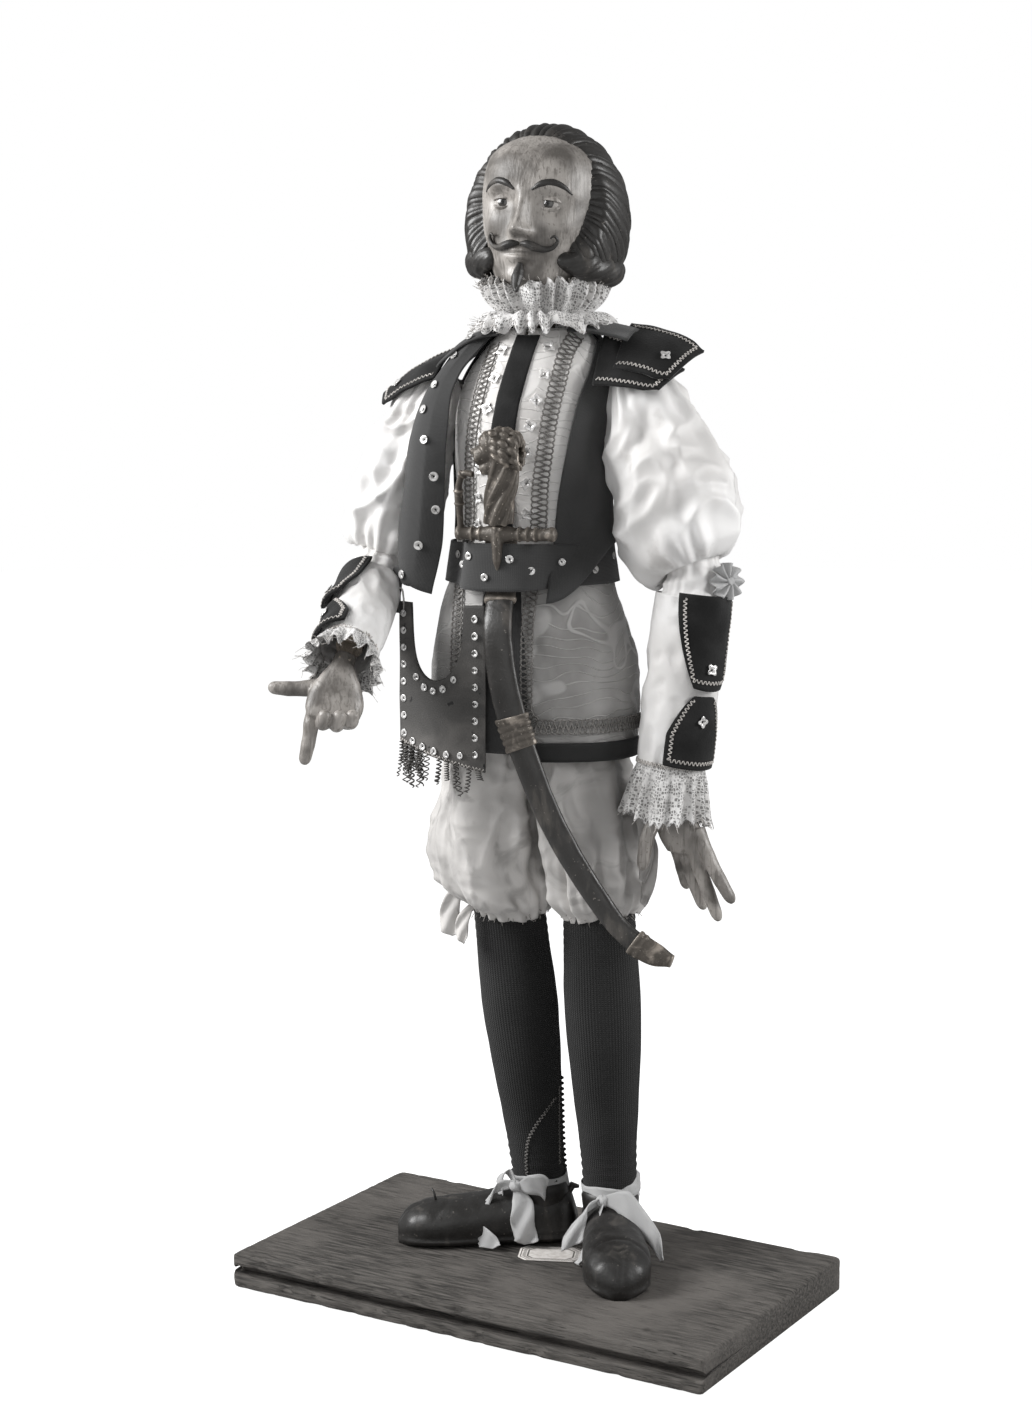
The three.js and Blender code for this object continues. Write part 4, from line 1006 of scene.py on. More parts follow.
# Ribbons tied from strips. Every strip has places (across, towards the viewer and height), the way its
# width runs at the start and at the end, widths, ripple and the notch cut in its end.
SHOE_BOWS = {
    "right": [
        (
            [(-14, 17, 61), (-6, 22, 64), (3, 22, 62), (4, 21, 60)], [(0, 0.2, 1), (0.2, 0.2, 1)],
            (5, 13, 15, 15), 0.8, 0
        ),
        (
            [(-14, 17, 61), (-11, 20, 52), (-11, 22, 38), (-9, 22, 27), (-10, 22, 24)],
            [(1, 0, 0), (1, 0.1, 0)], (5, 13, 15, 15, 15), 2.2, -4,
        ),
        (
            [(-15, 16, 62), (-26, 14, 60), (-37, 15, 44), (-44, 17, 36)],
            [(0.3, 0.2, 1), (0.8, 0.3, 0.7)], (5, 12, 12, 5), 1.2, 0,
        ),
        (
            [(-15, 15, 62), (-20, 12, 69), (-26, 8, 62), (-24, 12, 54)],
            [(0.3, 0.6, 0.6), (0.3, 0.9, 0.2)], (4, 10, 12, 9), 1.0, 0,
        ),
        (
            [(-42, 18, 37), (-36, 22, 32), (-31, 26, 25), (-30, 27, 24)],
            [(0.7, 0.4, 0.6), (1, 0.3, 0.2)], (5, 10, 14, 14), 1.0, -2,
        ),
    ],
    "left": [
        (
            [(-6, 18, 59), (-14, 22, 56), (-22, 25, 46), (-24, 27, 33)],
            [(0.3, 0.2, 1), (1, 0.1, 0.5)], (4, 12, 19, 15), 1.4, 0,
        ),
        (
            [(-5, 20, 58), (-10, 26, 48), (-16, 31, 36), (-20, 34, 25), (-21, 34, 24)],
            [(0.2, 1, 0.2), (0.4, 1, 0.3)], (4, 7, 7, 7, 7), 1.2, 0,
        ),
        (
            [(-4, 19, 60), (6, 25, 61), (17, 33, 51), (26, 38, 40), (31, 40, 29)],
            [(0.2, -0.2, 1), (0.9, 0.5, 0.5)], (6, 16, 15, 11, 2), 1.5, 0,
        ),
        (
            [(4, 16, 60), (12, 12, 63), (17, 5, 66), (18, 0, 71)], [(0, 0, -1), (0.4, 0.2, -1)],
            (8, 9, 9, 7), 0.8, 0
        ),
    ],
}
KNOTS = {"right": (-15, 16, 61), "left": (-5, 18, 59)}
KNEE_BOWS = {
    "right": [
        (
            [(-24, 14, 243), (-34, 15, 250), (-38, 15, 240), (-37, 15, 222)], [(1, 0, 0), (0.9, 0.3, 0)],
            (4, 10, 13, 13), 1.6, -3
        ),
        (
            [(-24, 16, 243), (-28, 18, 238), (-31, 19, 228), (-30, 19, 218)], [(1, 0, 0), (0.8, 0.5, 0)],
            (4, 8, 9, 6), 1.2, -3
        ),
        (
            [(-23, 13, 243), (-27, 10, 252), (-33, 8, 252), (-34, 9, 247)], [(0, 1, 0), (1, 0, 0)],
            (4, 9, 11, 10), 0.8, 0
        ),
    ],
    "left": [
        (
            [(22, 24, 318), (26, 26, 300), (27, 26, 280), (25, 26, 262)], [(1, 0, 0), (0.9, 0.4, 0)],
            (7, 10, 9, 5), 1.4, -3
        ),
        (
            [(24, 22, 300), (29, 22, 285), (29, 21, 265), (26, 21, 246)], [(1, 0, 0), (0.9, 0.4, 0)],
            (7, 10, 9, 5), 1.4, -3
        ),
    ],
}
KNEES = {"right": (-19, 5), "left": (39, 2)}


def tied(base, strips, rows):
    """The strips of a bow beside a base point."""
    shape = Shape()
    for places, ways, width, ripple, notch in strips:
        path = [seen(base, *place) for place in places]
        shape.join(ribbon(path, [seen((0, 0), *way) for way in ways], width, 0.5, rows, ripple, notch))
    return shape


def shoe_ribbon(side):
    """The ribbon round an ankle, tied in a bow with loose ends."""
    ankle = LEGS[side]["ankle"]
    shape = ankle_band(side).join(knot(seen(ankle, *KNOTS[side]), 4)).join(
        tied(ankle, SHOE_BOWS[side], 7)
    )
    nodes = [f"{side}_shoe_ribbon"]
    piece(
        f"{side}_ankle_bow", shape, SATIN_RIBBON, "figure", nodes,
    )


# The breeches: height, middle x and y, half width and half depth of each leg's puff.
BREECHES = {
    "right": [
        [236, -19, 5, 22.5, 23], [241, -20, 4, 25, 25], [246, -24, 2, 31, 31], [262, -30, 0, 35, 36.5],
        [288, -31, -1, 34, 37.5], [312, -30, -1, 31, 36], [352, -28, 0, 27.5, 34],
    ],
    "left": [
        [239, 39, 2, 22.5, 23], [243, 39, 2, 25, 25], [249, 39, 1, 28, 31], [264, 38, 0, 29, 35],
        [288, 35, -1, 29.5, 36], [312, 30, -1, 29, 36], [352, 26, 0, 25, 34],
    ],
}
# Folds of the cloth: angle from the viewer's side at the top and at the hem, in degrees, depth and width.
FOLDS = {
    "right": [
        (-58, -46, -4.2, 0.20), (-30, -52, 3.4, 0.28), (4, -22, -2.2, 0.3), (30, 14, 2.8, 0.4),
        (62, 42, -2.4, 0.22), (-95, -80, 2.6, 0.3), (-130, -120, -3.0, 0.25), (110, 95, 2.6, 0.3),
        (150, 140, -3.0, 0.25), (180, 190, 2.4, 0.3),
    ],
    "left": [
        (-64, -40, -3.4, 0.2), (-40, -22, 2.6, 0.25), (-8, 2, -2.8, 0.22), (24, 20, 2.8, 0.3),
        (48, 44, -3.6, 0.16), (78, 66, 2.6, 0.2), (-95, -80, 2.6, 0.3), (-130, -120, -3.0, 0.25),
        (120, 105, -2.8, 0.25), (160, 150, 2.6, 0.3),
    ],
}


def breeches(side):
    """One leg of the silk breeches with its folds."""
    low, high = BREECHES[side][0][0], BREECHES[side][-1][0]
    viewer = math.atan2(TOWARDS[1], TOWARDS[0])

    def at(u, v):
        z = high + (low - high) * v
        x, y, rx, ry = np.moveaxis(follow(BREECHES[side], z), -1, 0)
        a = u * TAU
        facing = (a - viewer + math.pi) % TAU - math.pi
        puff = 0
        for top, hem, deep, wide in FOLDS[side]:
            middle = -np.radians(top + (hem - top) * v)
            apart = (facing - middle + math.pi) % TAU - math.pi
            puff = puff + deep * bell(apart, 0, wide) * (0.35 + 0.65 * step(v, 0.0, 0.5))
        place = circle(a, 34, z)
        ridge = 0.5 - np.abs(rough(place * [1, 1, 0.35], 11, len(side)))
        cross = 0.5 - np.abs(rough(place * [0.6, 0.6, 1.2], 15, 4))
        puff = 1.35 * puff + 5.4 * ridge + 3.4 * cross - 2.9
        hem = step(v, 0.86, 1.0)
        gathers = 1.5 * np.sin(17 * a + 2.0 * np.sin(3 * a)) * step(v, 0.72, 0.97)
        r = puff * (1 - hem * 0.8) + gathers
        droop = step(v, 0.5, 0.9) * (
            4.0 * np.sin(2 * a + (1 if side == "right" else 2.6)) + 3.0 * rough(place * [1, 1, 0], 18, 4)
        )
        return stack(
            x + (rx + r) * np.cos(a), y + (ry + r) * np.sin(a), z + droop * (1 - 0.3 * hem) - 1.0
        )

    shape = sheet(at, 150, 96, 0.9, closed=True)
    piece(
        f"{side}_silk_breech", shape, SILK, "figure", [f"{side}_breech_leg"],
    )
    places, ways = [], []
    x, y, rx, ry = follow(BREECHES[side], low)
    for k in range(90):
        a = k / 90 * TAU
        places.append(np.array([x + rx * math.cos(a), y + ry * math.sin(a), low + draw.uniform(-1, 4)]))
        ways.append((0.5 * math.cos(a), 0.5 * math.sin(a), -1))
    piece(f"{side}_breech_fray", fray(places, ways, 5, 0.2), COTTON_PALE, "figure")


def knee_bows():
    """Strips of the breeches' silk, tied at the outside of each knee."""
    shape = tied(KNEES["right"], KNEE_BOWS["right"], 9)
    piece(
        "right_knee_bow", shape, SILK, "figure", ["right_garter_bow"],
    )
    shape = tied(KNEES["left"], KNEE_BOWS["left"], 9)
    piece("left_knee_ribbon", shape, SILK, "figure", ())


SATIN_RIBBON = woven("satin ribbon", 0.74, 0.75, 1.15, 900, sheen=0.2, rough_low=0.4, rough_high=0.55)
COTTON_PALE = thread("pale silk thread", 0.5)


def stand_and_legs():
    """The plank, the shoes and the legs."""
    plank()
    label()
    for side in LEGS:
        shoe(side)
        stocking(side)
        shoe_ribbon(side)
        breeches(side)
    gaiter_trim()
    knee_bows()


# ---- Trunk -----------------------------------------------------------------------------------------------

# The clothed trunk: height, middle x, half width, half depth.
TRUNK = [
    [338, -2, 62, 47], [370, -2, 63, 48], [400, -2, 61, 46], [430, -4, 53, 41], [452, -4, 47, 37],
    [480, -4, 45, 38], [520, -4, 46, 41], [546, -3, 46, 41], [566, 0, 43, 36], [582, 4, 36, 29],
    [594, 4, 25, 21],
]
SQUARE = 2.2


def on_trunk(degrees, z, grow=0.0):
    """A place on the trunk at an angle from straight ahead, positive to the figure's left."""
    cx, rx, ry = np.moveaxis(follow(TRUNK, z), -1, 0)
    a = np.radians(np.asarray(degrees, float) - 90)
    x = cx + (rx + grow) * corner(np.cos(a), 2 / SQUARE)
    return stack(x, (ry + grow) * corner(np.sin(a), 2 / SQUARE), z)


def trunk_degrees(x, z):
    """The angle at which the front of the trunk has this x."""
    cx, rx, _ = np.moveaxis(follow(TRUNK, z), -1, 0)
    share = np.clip((np.asarray(x, float) - cx) / rx, -0.999, 0.999)
    return np.degrees(np.arcsin(corner(share, SQUARE / 2)))


def on_front(x, z, grow=0.0):
    """Places on the trunk's front with this x and z, and the ways out of it there."""
    degrees = trunk_degrees(x, z)
    place = on_trunk(degrees, z, grow)
    near = on_trunk(degrees + 1.5, z, grow) - on_trunk(degrees - 1.5, z, grow)
    rise = on_trunk(degrees, np.asarray(z, float) + 2, grow) - on_trunk(
        degrees, np.asarray(z, float) - 2, grow
    )
    return place, unit(np.cross(near, rise))


def front_line(rows, grow=0.0):
    """Places and ways out along a line of (x, z) on the trunk's front."""
    x, z = np.array(rows, float).T
    return on_front(x, z, grow)


def cloth_panel(edges, low, high, grow, ripple=0.5, seed=0):
    """A panel on the trunk between two edges, angles at the share of the way down, and two heights."""

    def at(u, v):
        start, end = edges(v)
        z = high(u) * (1 - v) + low(u) * v if callable(low) else high * (1 - v) + low * v
        degrees = start * (1 - u) + end * u
        base = on_trunk(degrees, z, 0)
        wave = ripple * (rough(base, 16, seed) + 0.4 * rough(base, 6, seed + 1))
        return on_trunk(degrees, z, grow + wave)

    return at


# The dark strip between the doublet's fronts, as (x of its middle, z), and the braid on each side of it.
PLACKET_LINE = [(1, 590), (-3, 570), (-7, 550), (-10, 530), (-12, 500), (-12, 460)]
BRAID_LINES = {
    "right": [(-20, 585), (-23.6, 565), (-28.8, 538), (-32, 508), (-33, 480), (-36, 462)],
    "left": [
        (27, 590), (24, 579), (21.7, 565), (19, 550), (17, 538), (14.6, 520), (12, 502), (10.9, 483),
        (10, 470)
    ],
}
FLOWERS = [
    (14.4, 583), (13.8, 567), (10.2, 552), (7, 537), (4.4, 521), (4, 503), (4.6, 485),
    (-13.9, 581), (-16.2, 565), (-19.8, 547), (-22.5, 529), (-25.5, 511), (-27, 494), (-27.5, 478),
]


def doublet():
    """The brocade doublet with its sequin flowers."""
    edges = lambda v: (-6 + 0 * v, 350 + 0 * v)
    at = cloth_panel(edges, 448, 594, 0.0, 0.5, 1)
    body = piece(
        "doublet_body", sheet(at, 150, 60, 1.2), LIT_DOUBLET_BROCADE, "figure", ["doublet"],
    )
    line = np.array(PLACKET_LINE, float)

    def strip(u, v):
        k = np.interp(v, np.linspace(0, 1, len(line)), np.arange(len(line)))
        x = np.interp(k, np.arange(len(line)), line[:, 0])
        z = np.interp(k, np.arange(len(line)), line[:, 1])
        return on_front(x + (u - 0.5) * (14 + v), z, 1.3 + 0.35 * rough(stack(u * 8, v * 90, 0), 9, 7))[0]

    piece(
        "placket_strip", sheet(strip, 12, 60, 1.0), VELVET, "figure", ["placket"],
    )
    for side, rows in BRAID_LINES.items():
        place, out = front_line(rows, 0.9)
        wide = 8.4 if side == "right" else 9.6
        piece(f"{side}_front_braid", braid(place, out, wide, 3.4), GIMP, "figure")
    sequins("doublet_flowers", "figure", list(zip(*front_line(FLOWERS, 0.8))), 3.3, 4, BRIGHT_SEQUIN)


def skirts():
    """The doublet's skirts below the belt: two fronts, a back, and their braid and bands."""
    hem = 340
    parts = {
        "left_skirt": (lambda v: (4 + 4 * v, 96 + 0 * v), hem + 8, 1.2, 2),
        "back_skirt": (lambda v: (94 + 0 * v, 266 + 0 * v), hem, 0.4, 3),
        "right_skirt": (lambda v: (-18 - v, -96 + 0 * v), hem, 1.2, 4),
    }
    for name, (edges, low, grow, seed) in parts.items():
        panel = cloth_panel(edges, low, 456, grow, 1.4, seed)

        def at(u, v, panel=panel):
            return panel(u, v) + stack(0 * u, 0 * u, 1.5 * np.sin(u * 7) * step(v, 0.7, 1))

        piece(name, sheet(at, 84, 64, 1.2), SHADED_SKIRT_BROCADE, "figure", ())
    rows = [(8, 446), (6.2, 425), (6.5, 400), (7, 380), (8, 366), (13, 361)]
    down, out = front_line(rows, 2.2)
    across, across_out = trunk_line_at(np.linspace(11, 94, 12), np.full(12, 360.0), 3.4)
    piece("left_skirt_braid", braid(down, out, 7, 3.4), GIMP, "figure")
    piece("hem_braid", braid(across, across_out, 8.5, 3.3), GIMP, "figure")
    rows = [(-38.6, 446), (-38.4, 430), (-38.3, 414), (-38, 393), (-38, 368), (-38, 346)]
    down, out = front_line(rows, 2.2)
    piece("right_skirt_braid", braid(down, out, 8.5, 3.4), GIMP, "figure")
    band = cloth_panel(lambda v: (11 + 0 * v, 97 + 0 * v), 338.5, 350, 3.2, 0.4, 2)
    piece(
        "skirt_band", sheet(band, 70, 6, 1.0), RIBBON, "figure", (),
    )
    # A dark cloth sheet set back behind the gap between the front skirts: painted shade for that gap.
    middle = cloth_panel(lambda v: (-24 + 0 * v, 17 + 0 * v), 342, 452, -1.2, 0.4, 6)
    piece(
        "skirt_gap_painted_shade", sheet(middle, 20, 40, 1.0), CLOTH, "figure", (),
    )


def trunk_line_at(degrees, z, grow):
    place = on_trunk(degrees, z, grow)
    out = unit(on_trunk(degrees, z, grow + 5) - place)
    return place, out


# Edges of the vest: (x, z) down its left front, and the outer and front edge of its hanging right front.
VEST_EDGE = [[433, 15], [450, 16], [466, 18], [492, 20.5], [520, 25], [548, 30], [582, 36], [593, 34]]
VEST_RIGHT = {
    "outer": [
        (-50, -16, 578), (-63, -25, 556), (-71, -31, 530), (-74, -34, 500), (-78.5, -33, 468),
        (-78, -32, 446)
    ],
    "crease": [
        (-33, -24, 589), (-49, -35, 562), (-56, -43, 530), (-59, -45, 500), (-62, -44, 468),
        (-69, -39, 444)
    ],
    "front": [
        (-22, -20, 592), (-41, -37, 562), (-45, -43, 530), (-47, -45, 500), (-49, -44, 468),
        (-57, -41, 436)
    ],
}


# Shoulder straps: side, x of the inner and the outer end, drop between them and height of the top.
STRAPS = [("left", 25, 62, 6, 599), ("right", -17, -56, 19, 597)]
# Sequins on the right front, as shares of the way down and across it.
VEST_SEQUINS = [
    (0.06, 0.42), (0.2, 0.4), (0.31, 0.35), (0.44, 0.55), (0.57, 0.8), (0.7, 0.86), (0.84, 0.62),
    (0.96, 0.3)
]


def vest():
    """The fronts, the back and the shoulder straps of the vest."""

    def body(u, v):
        low = 466 + (433 - 466) * (1 - step(u, 0.0, 0.22)) + 4 * step(u, 0.2, 0.3)
        z = 594 * (1 - v) + low * v
        start = trunk_degrees(follow(VEST_EDGE, z)[..., 0], z)
        degrees = start + (272 - start) * u
        base = on_trunk(degrees, z, 0)
        fold = 0.5 * rough(base, 20, 8) + 0.5 * bell(z, 532, 1.6) * step(u, 0, 0.02) * (u < 0.3)
        flare = 5.5 * step(v, 0.82, 1.0) * (1 - step(u, 0.15, 0.4))
        return on_trunk(degrees, z, 3.6 + fold + flare)

    nodes = ["vest"]
    piece(
        "vest_body", sheet(body, 150, 60, 1.3), CLOTH, "figure", nodes,
    )
    rails = [curve(VEST_RIGHT[edge], 60) for edge in ("outer", "crease", "front")]

    def right(u, v):
        k = row_at(v, 60)
        outer, crease, front = (rail[k] for rail in rails)
        t = np.clip(u / 0.6, 0, 1)[..., None]
        s = np.clip((u - 0.6) / 0.4, 0, 1)[..., None]
        place = outer + (crease - outer) * t + (front - crease) * s
        bow = stack(-0.5, -0.85, 0) * (2.2 * np.sin(math.pi * np.clip(u / 0.6, 0, 1)))[..., None]
        curl = stack(0.2, 1.0, 0.0) * (4.0 * s[..., 0] ** 1.5 * step(v, 0.25, 0.7))[..., None]
        hem = 3.5 * np.sin(math.pi * np.clip(u, 0, 1)) * step(v, 0.86, 1)
        return place + bow + curl + stack(0.3 * rough(place, 12, 3), 0, -hem)

    piece(
        "vest_right_front", sheet(right, 40, 60, 1.3), CLOTH, "figure", (),
    )
    strap = [(-78, -33.5, 452), (-79.5, -34, 442), (-80, -35, 434), (-79, -36, 424)]
    tail = ribbon(strap, ((0.86, -0.5, 0), (0.86, -0.5, 0)), (10, 9, 8, 7), 1.2, 8, 0.2)
    piece("panel_strap", tail, CLOTH, "figure", ())
    for name, inner, outer, drop, top in STRAPS:

        def strap_at(u, v, inner=inner, outer=outer, drop=drop, top=top):
            y = -27 + 52 * v
            x = inner + (outer - inner) * u
            return stack(x, y, top - drop * u**2 - y * y / 110 + 0.5 * rough(stack(x, y, 0 * x), 9, 2))

        piece(
            f"{name}_shoulder_strap", sheet(strap_at, 26, 30, 1.3), CLOTH, "figure", (),
        )
    places = []
    for v, u in VEST_SEQUINS:
        u, v = np.array(u), np.array(v)
        here = right(u, v)
        normal = unit(
            np.cross(right(u + 0.01, v) - right(u - 0.01, v), right(u, v + 0.02) - right(u, v - 0.02))
        )
        normal = normal if normal[1] < 0 else -normal
        places.append((here + normal * 0.8, normal))
    places.append((np.array([-79.4, -36.2, 440.0]), (-0.5, -0.86, 0)))
    places.append((np.array([-79.2, -37.4, 429.0]), (-0.5, -0.86, 0)))
    sequins("vest_sequins", "figure", places, 2.7)
    shoulder = [
        ((47, -22, 596.4), (0.2, -0.6, 0.9)), ((38, -24.5, 597.2), (0.1, -0.7, 0.9)),
        ((-36, -24, 589), (-0.4, -0.7, 0.8))
    ]
    low = list(zip(*front_line([(44, 471), (52, 459)], 5.4)))
    sequins("shoulder_sequins", "figure", shoulder + low, 2.4)


BELT_SEQUINS = [
    (-37, 460), (-31, 454.5), (-21, 460.5), (-13, 448.5), (-2, 459.5), (7, 452.5), (22, 457), (37, 452)
]


def belt():
    """The belt round the waist."""

    def grow(degrees):
        return 3.6 + 14 * np.exp(-(((degrees + 7) / 24) ** 4))

    def at(u, v):
        degrees = -180 + 360 * u
        dip = bell(degrees, -5, 34)
        z = (467 + 1.5 * dip) * (1 - v) + (443 - 3 * dip) * v
        return on_trunk(
            degrees, z,
            grow(degrees) + 0.8 * np.sin(v * math.pi) + 0.3 * rough(on_trunk(degrees, z), 9, 1)
        )

    piece(
        "belt_cloth", sheet(at, 140, 14, 1.6, closed=True), CLOTH, "figure", ["belt"],
    )
    x, z = np.array(BELT_SEQUINS).T
    degrees = trunk_degrees(x, z)
    places = zip(on_trunk(degrees, z, grow(degrees) + 1.6), trunk_line_at(degrees, z, 0)[1])
    sequins("belt_sequins", "figure", places, 2.3)


def tab(corners, arch):
    """The surface of a velvet tab from its sewn end to its free end; corners go back, front, front, back."""
    back, front, tip_front, tip_back = (np.array(c, float) for c in corners)
    out = unit(np.cross(front - back, tip_back - back))
    out = out if out[2] > 0 else -out

    def at(u, v):
        u = 0.5 + (u - 0.5) * (1 - 0.22 * step(v, 0.7, 1.0) ** 2)
        near = back * (1 - u)[..., None] + front * u[..., None]
        far = tip_back * (1 - u)[..., None] + tip_front * u[..., None]
        rise = arch * (np.sin(math.pi * v) * 0.7 + 0.6 * np.sin(math.pi * u)) + 0.8 * rough(
            stack(u * 30, v * 40, 0 * v), 11, 4
        )
        return near * (1 - v)[..., None] + far * v[..., None] + out * rise[..., None]

    return at


def outer_way(at, u, v, outward):
    """The ways out of a panel on the side that faces outward."""
    d = 0.02
    out = unit(np.cross(at(u + d, v) - at(u - d, v), at(u, v + d) - at(u, v - d)))
    return out * (1 if (out * outward).sum(axis=-1).mean() > 0 else -1)


def edge_trim(at, outward, thick, inset=0.09):
    """Zigzag cord round a panel's free edges, from one sewn corner to the other."""
    corners = [(inset, 0.05), (inset, 1 - inset), (1 - inset, 1 - inset), (1 - inset, 0.05)]
    u = np.concatenate(
        [np.linspace(a[0], b[0], 11)[:-1] for a, b in zip(corners, corners[1:])] + [[1 - inset]]
    )
    v = np.concatenate(
        [np.linspace(a[1], b[1], 11)[:-1] for a, b in zip(corners, corners[1:])] + [[0.05]]
    )
    out = outer_way(at, u, v, outward)
    return zigzag(at(u, v) + out * thick / 2, out, 2.1, 2.6, 0.36)


TABS = {
    "right_shoulder_tab": (
        "right", [(-50, 8, 585), (-58, -24, 565), (-93, -19, 547), (-99, 6, 557)], 4, ["right_epaulette"]
    ),
    "left_under_tab": ("left", [(42, -4, 592), (42, -32, 561), (80, -31, 556), (94, -8, 571)], 3, []),
    "left_shoulder_tab": (
        "left", [(55, 9, 597), (53, -26, 570), (85, -28, 561), (104, 2, 582)], 5, ["left_epaulette"]
    ),
}


def shoulder_tabs():
    """The velvet tabs over both shoulders."""
    up = np.array([0, -0.5, 1.0])
    for name, (side, corners, arch, nodes) in TABS.items():
        at = tab(corners, arch)
        made = [
            piece(name, sheet(at, 34, 34, 1.6), VELVET, None, nodes),
            piece(f"{name}_cord", edge_trim(at, up, 1.6), TRIM, None),
        ]
        spot = (np.array(0.6), np.array(0.72))
        out = outer_way(at, *spot, up)
        made += sequins(f"{name}_flower", None, [(at(*spot) + out, out)], 3.1, 4)
        ends = from_figure(at(np.array([0.5, 0.5]), np.array([0.0, 1.0])))
        bend(made, "figure", f"{side}_shoulder", *ends)


def trunk():
    """Everything on the trunk."""
    doublet()
    belt()
    skirts()
    vest()
    shoulder_tabs()


# ---- Arms ------------------------------------------------------------------------------------------------

ARM_LENGTH = 114
ARMS = {
    "right": {
        "shoulder": (-64, 0, 560), "arm_way": (-36, -8, -109), "forearm_way": (12, -91, -47),
        "forearm": 108,
        "puff": [
            (-9, 5), (-8, 12), (4, 20), (28, 26), (58, 29), (84, 30), (98, 26), (105, 19), (102, 13)
        ],
        "puff_out": 5, "pouch": (200, 9), "sleeve": (30, 98), "cuff": 18, "radius": 19, "flap_turn": -160,
        "bend": 37,
    },
    "left": {
        "shoulder": (62, 0, 560), "arm_way": (38, -8, -109), "forearm_way": (-11, -6, -107),
        "forearm": 118,
        "puff": [
            (-9, 6), (-8, 14), (6, 24), (34, 32), (64, 37.5), (90, 37.5), (105, 31), (111, 21), (107, 14)
        ],
        "puff_out": 0, "pouch": (205, 11), "sleeve": (17, 116), "cuff": 34, "radius": 22.5,
        "flap_turn": -40, "bend": 0,
    },
}
HANDS = {
    "right": {
        "palm": [
            (4, 0.5, 0, 7, 7), (8, 1, 0, 9, 7.5), (14, 2, 0, 12.5, 7.8), (24, 3, 0, 16.5, 7.6),
            (34, 3, 0, 16, 7), (40, 3, -1, 13, 5)
        ],
        "thumb": [(-4, 2, -17), (-14, 5, -22), (-23, 7, -25), (-37, 10, -28)],
        "fingers": [
            [(-7, 1, -30), (-6.5, 3, -41), (-5, 6, -49), (-3, 12, -65)],
            [(1, 0, -32), (0.5, -3, -41), (0, -9.5, -43.5), (0, -17, -38)],
            [(8, -1, -31), (8, -4, -40), (8, -9.5, -42), (8, -16, -35)],
            [(14, -1, -28), (15, -4, -36), (15.2, -8.5, -37.5), (15, -14, -32)],
        ],
    },
    "left": {
        "palm": [
            (4, 0.5, 0, 7, 7), (9, 1.5, 0, 9, 7.6), (16, 3, 0, 11.5, 7.6), (32, 7, 0, 13.5, 7.2),
            (44, 13, 0, 15, 6.4), (52, 16, 0, 12, 4.5)
        ],
        "thumb": [(2, -2.5, -16), (-3, -6, -30), (-7, -8, -43), (-8, -9, -65)],
        "fingers": [
            [(21, -2, -36), (28, -4, -48), (36, -6, -59), (49, -6, -76)],
            [(16.5, -1, -38), (22, -1.5, -52), (29.5, -2, -67), (41, -1, -89)],
            [(11, 1, -38), (15, 2, -51), (20.5, 4, -66), (29.5, 7, -85)],
            [(5, 2, -35), (7.5, 5, -47), (11.5, 8, -59), (16.5, 12, -75)],
        ],
    },
}


def arm_frame(side, way):
    """The elbow and three unit vectors: across along the elbow's axis, then out, then back up the limb."""
    arm = ARMS[side]
    upper, fore = unit(np.array(arm["arm_way"], float)), unit(np.array(arm["forearm_way"], float))
    elbow = np.array(arm["shoulder"]) + upper * ARM_LENGTH
    axis = np.array(ELBOW_AXIS[side])
    back = -unit((fore if way == "fore" else upper) - axis * axis.dot(fore if way == "fore" else upper))
    return elbow, np.array([axis, np.cross(back, axis), back])


ELBOW_AXIS = {"right": (0.904, 0.2842, -0.3194), "left": (0.9948, -0.0057, -0.1019)}


def from_arm(side, way="fore", hand=False):
    """Turns places in a limb's own frame, hanging down -Z from the elbow, into the row frame."""
    elbow, basis = arm_frame(side, way)
    bend = math.radians(ARMS[side]["bend"])

    def place(points):
        points = np.asarray(points, float)
        if hand:
            x, y, z = points.T
            points = stack(
                x, y * math.cos(bend) - z * math.sin(bend), y * math.sin(bend) + z * math.cos(bend)
            )
            points = points - [0, 0, ARMS[side]["forearm"]]
        return from_figure(elbow + points @ basis)

    return place


def satin_folds(degrees, along, reach, seed):
    """Soft folds that gather at both ends of a puff and break across its middle."""
    a = np.radians(degrees)
    ring = circle(a, 30, along * 0.42)
    share = along / reach
    ends = step(share, 0.62, 1.0) + 1 - step(share, 0.0, 0.35)
    pleats = np.sin(13 * a + 2.2 * np.sin(3 * a + share * 2) + seed) * ends
    long_folds = 1 - 2 * np.abs(rough(ring, 17, seed))
    breaks = 1 - 2 * np.abs(rough(circle(a, 30, along * 1.3 + 14 * np.sin(a * 2)), 23, seed + 5))
    slack = 5.2 * (long_folds - 0.6) * (1 - 0.5 * ends)
    return 1.5 * pleats + slack + 4.0 * (breaks - 0.6) * (1 - ends * 0.6)


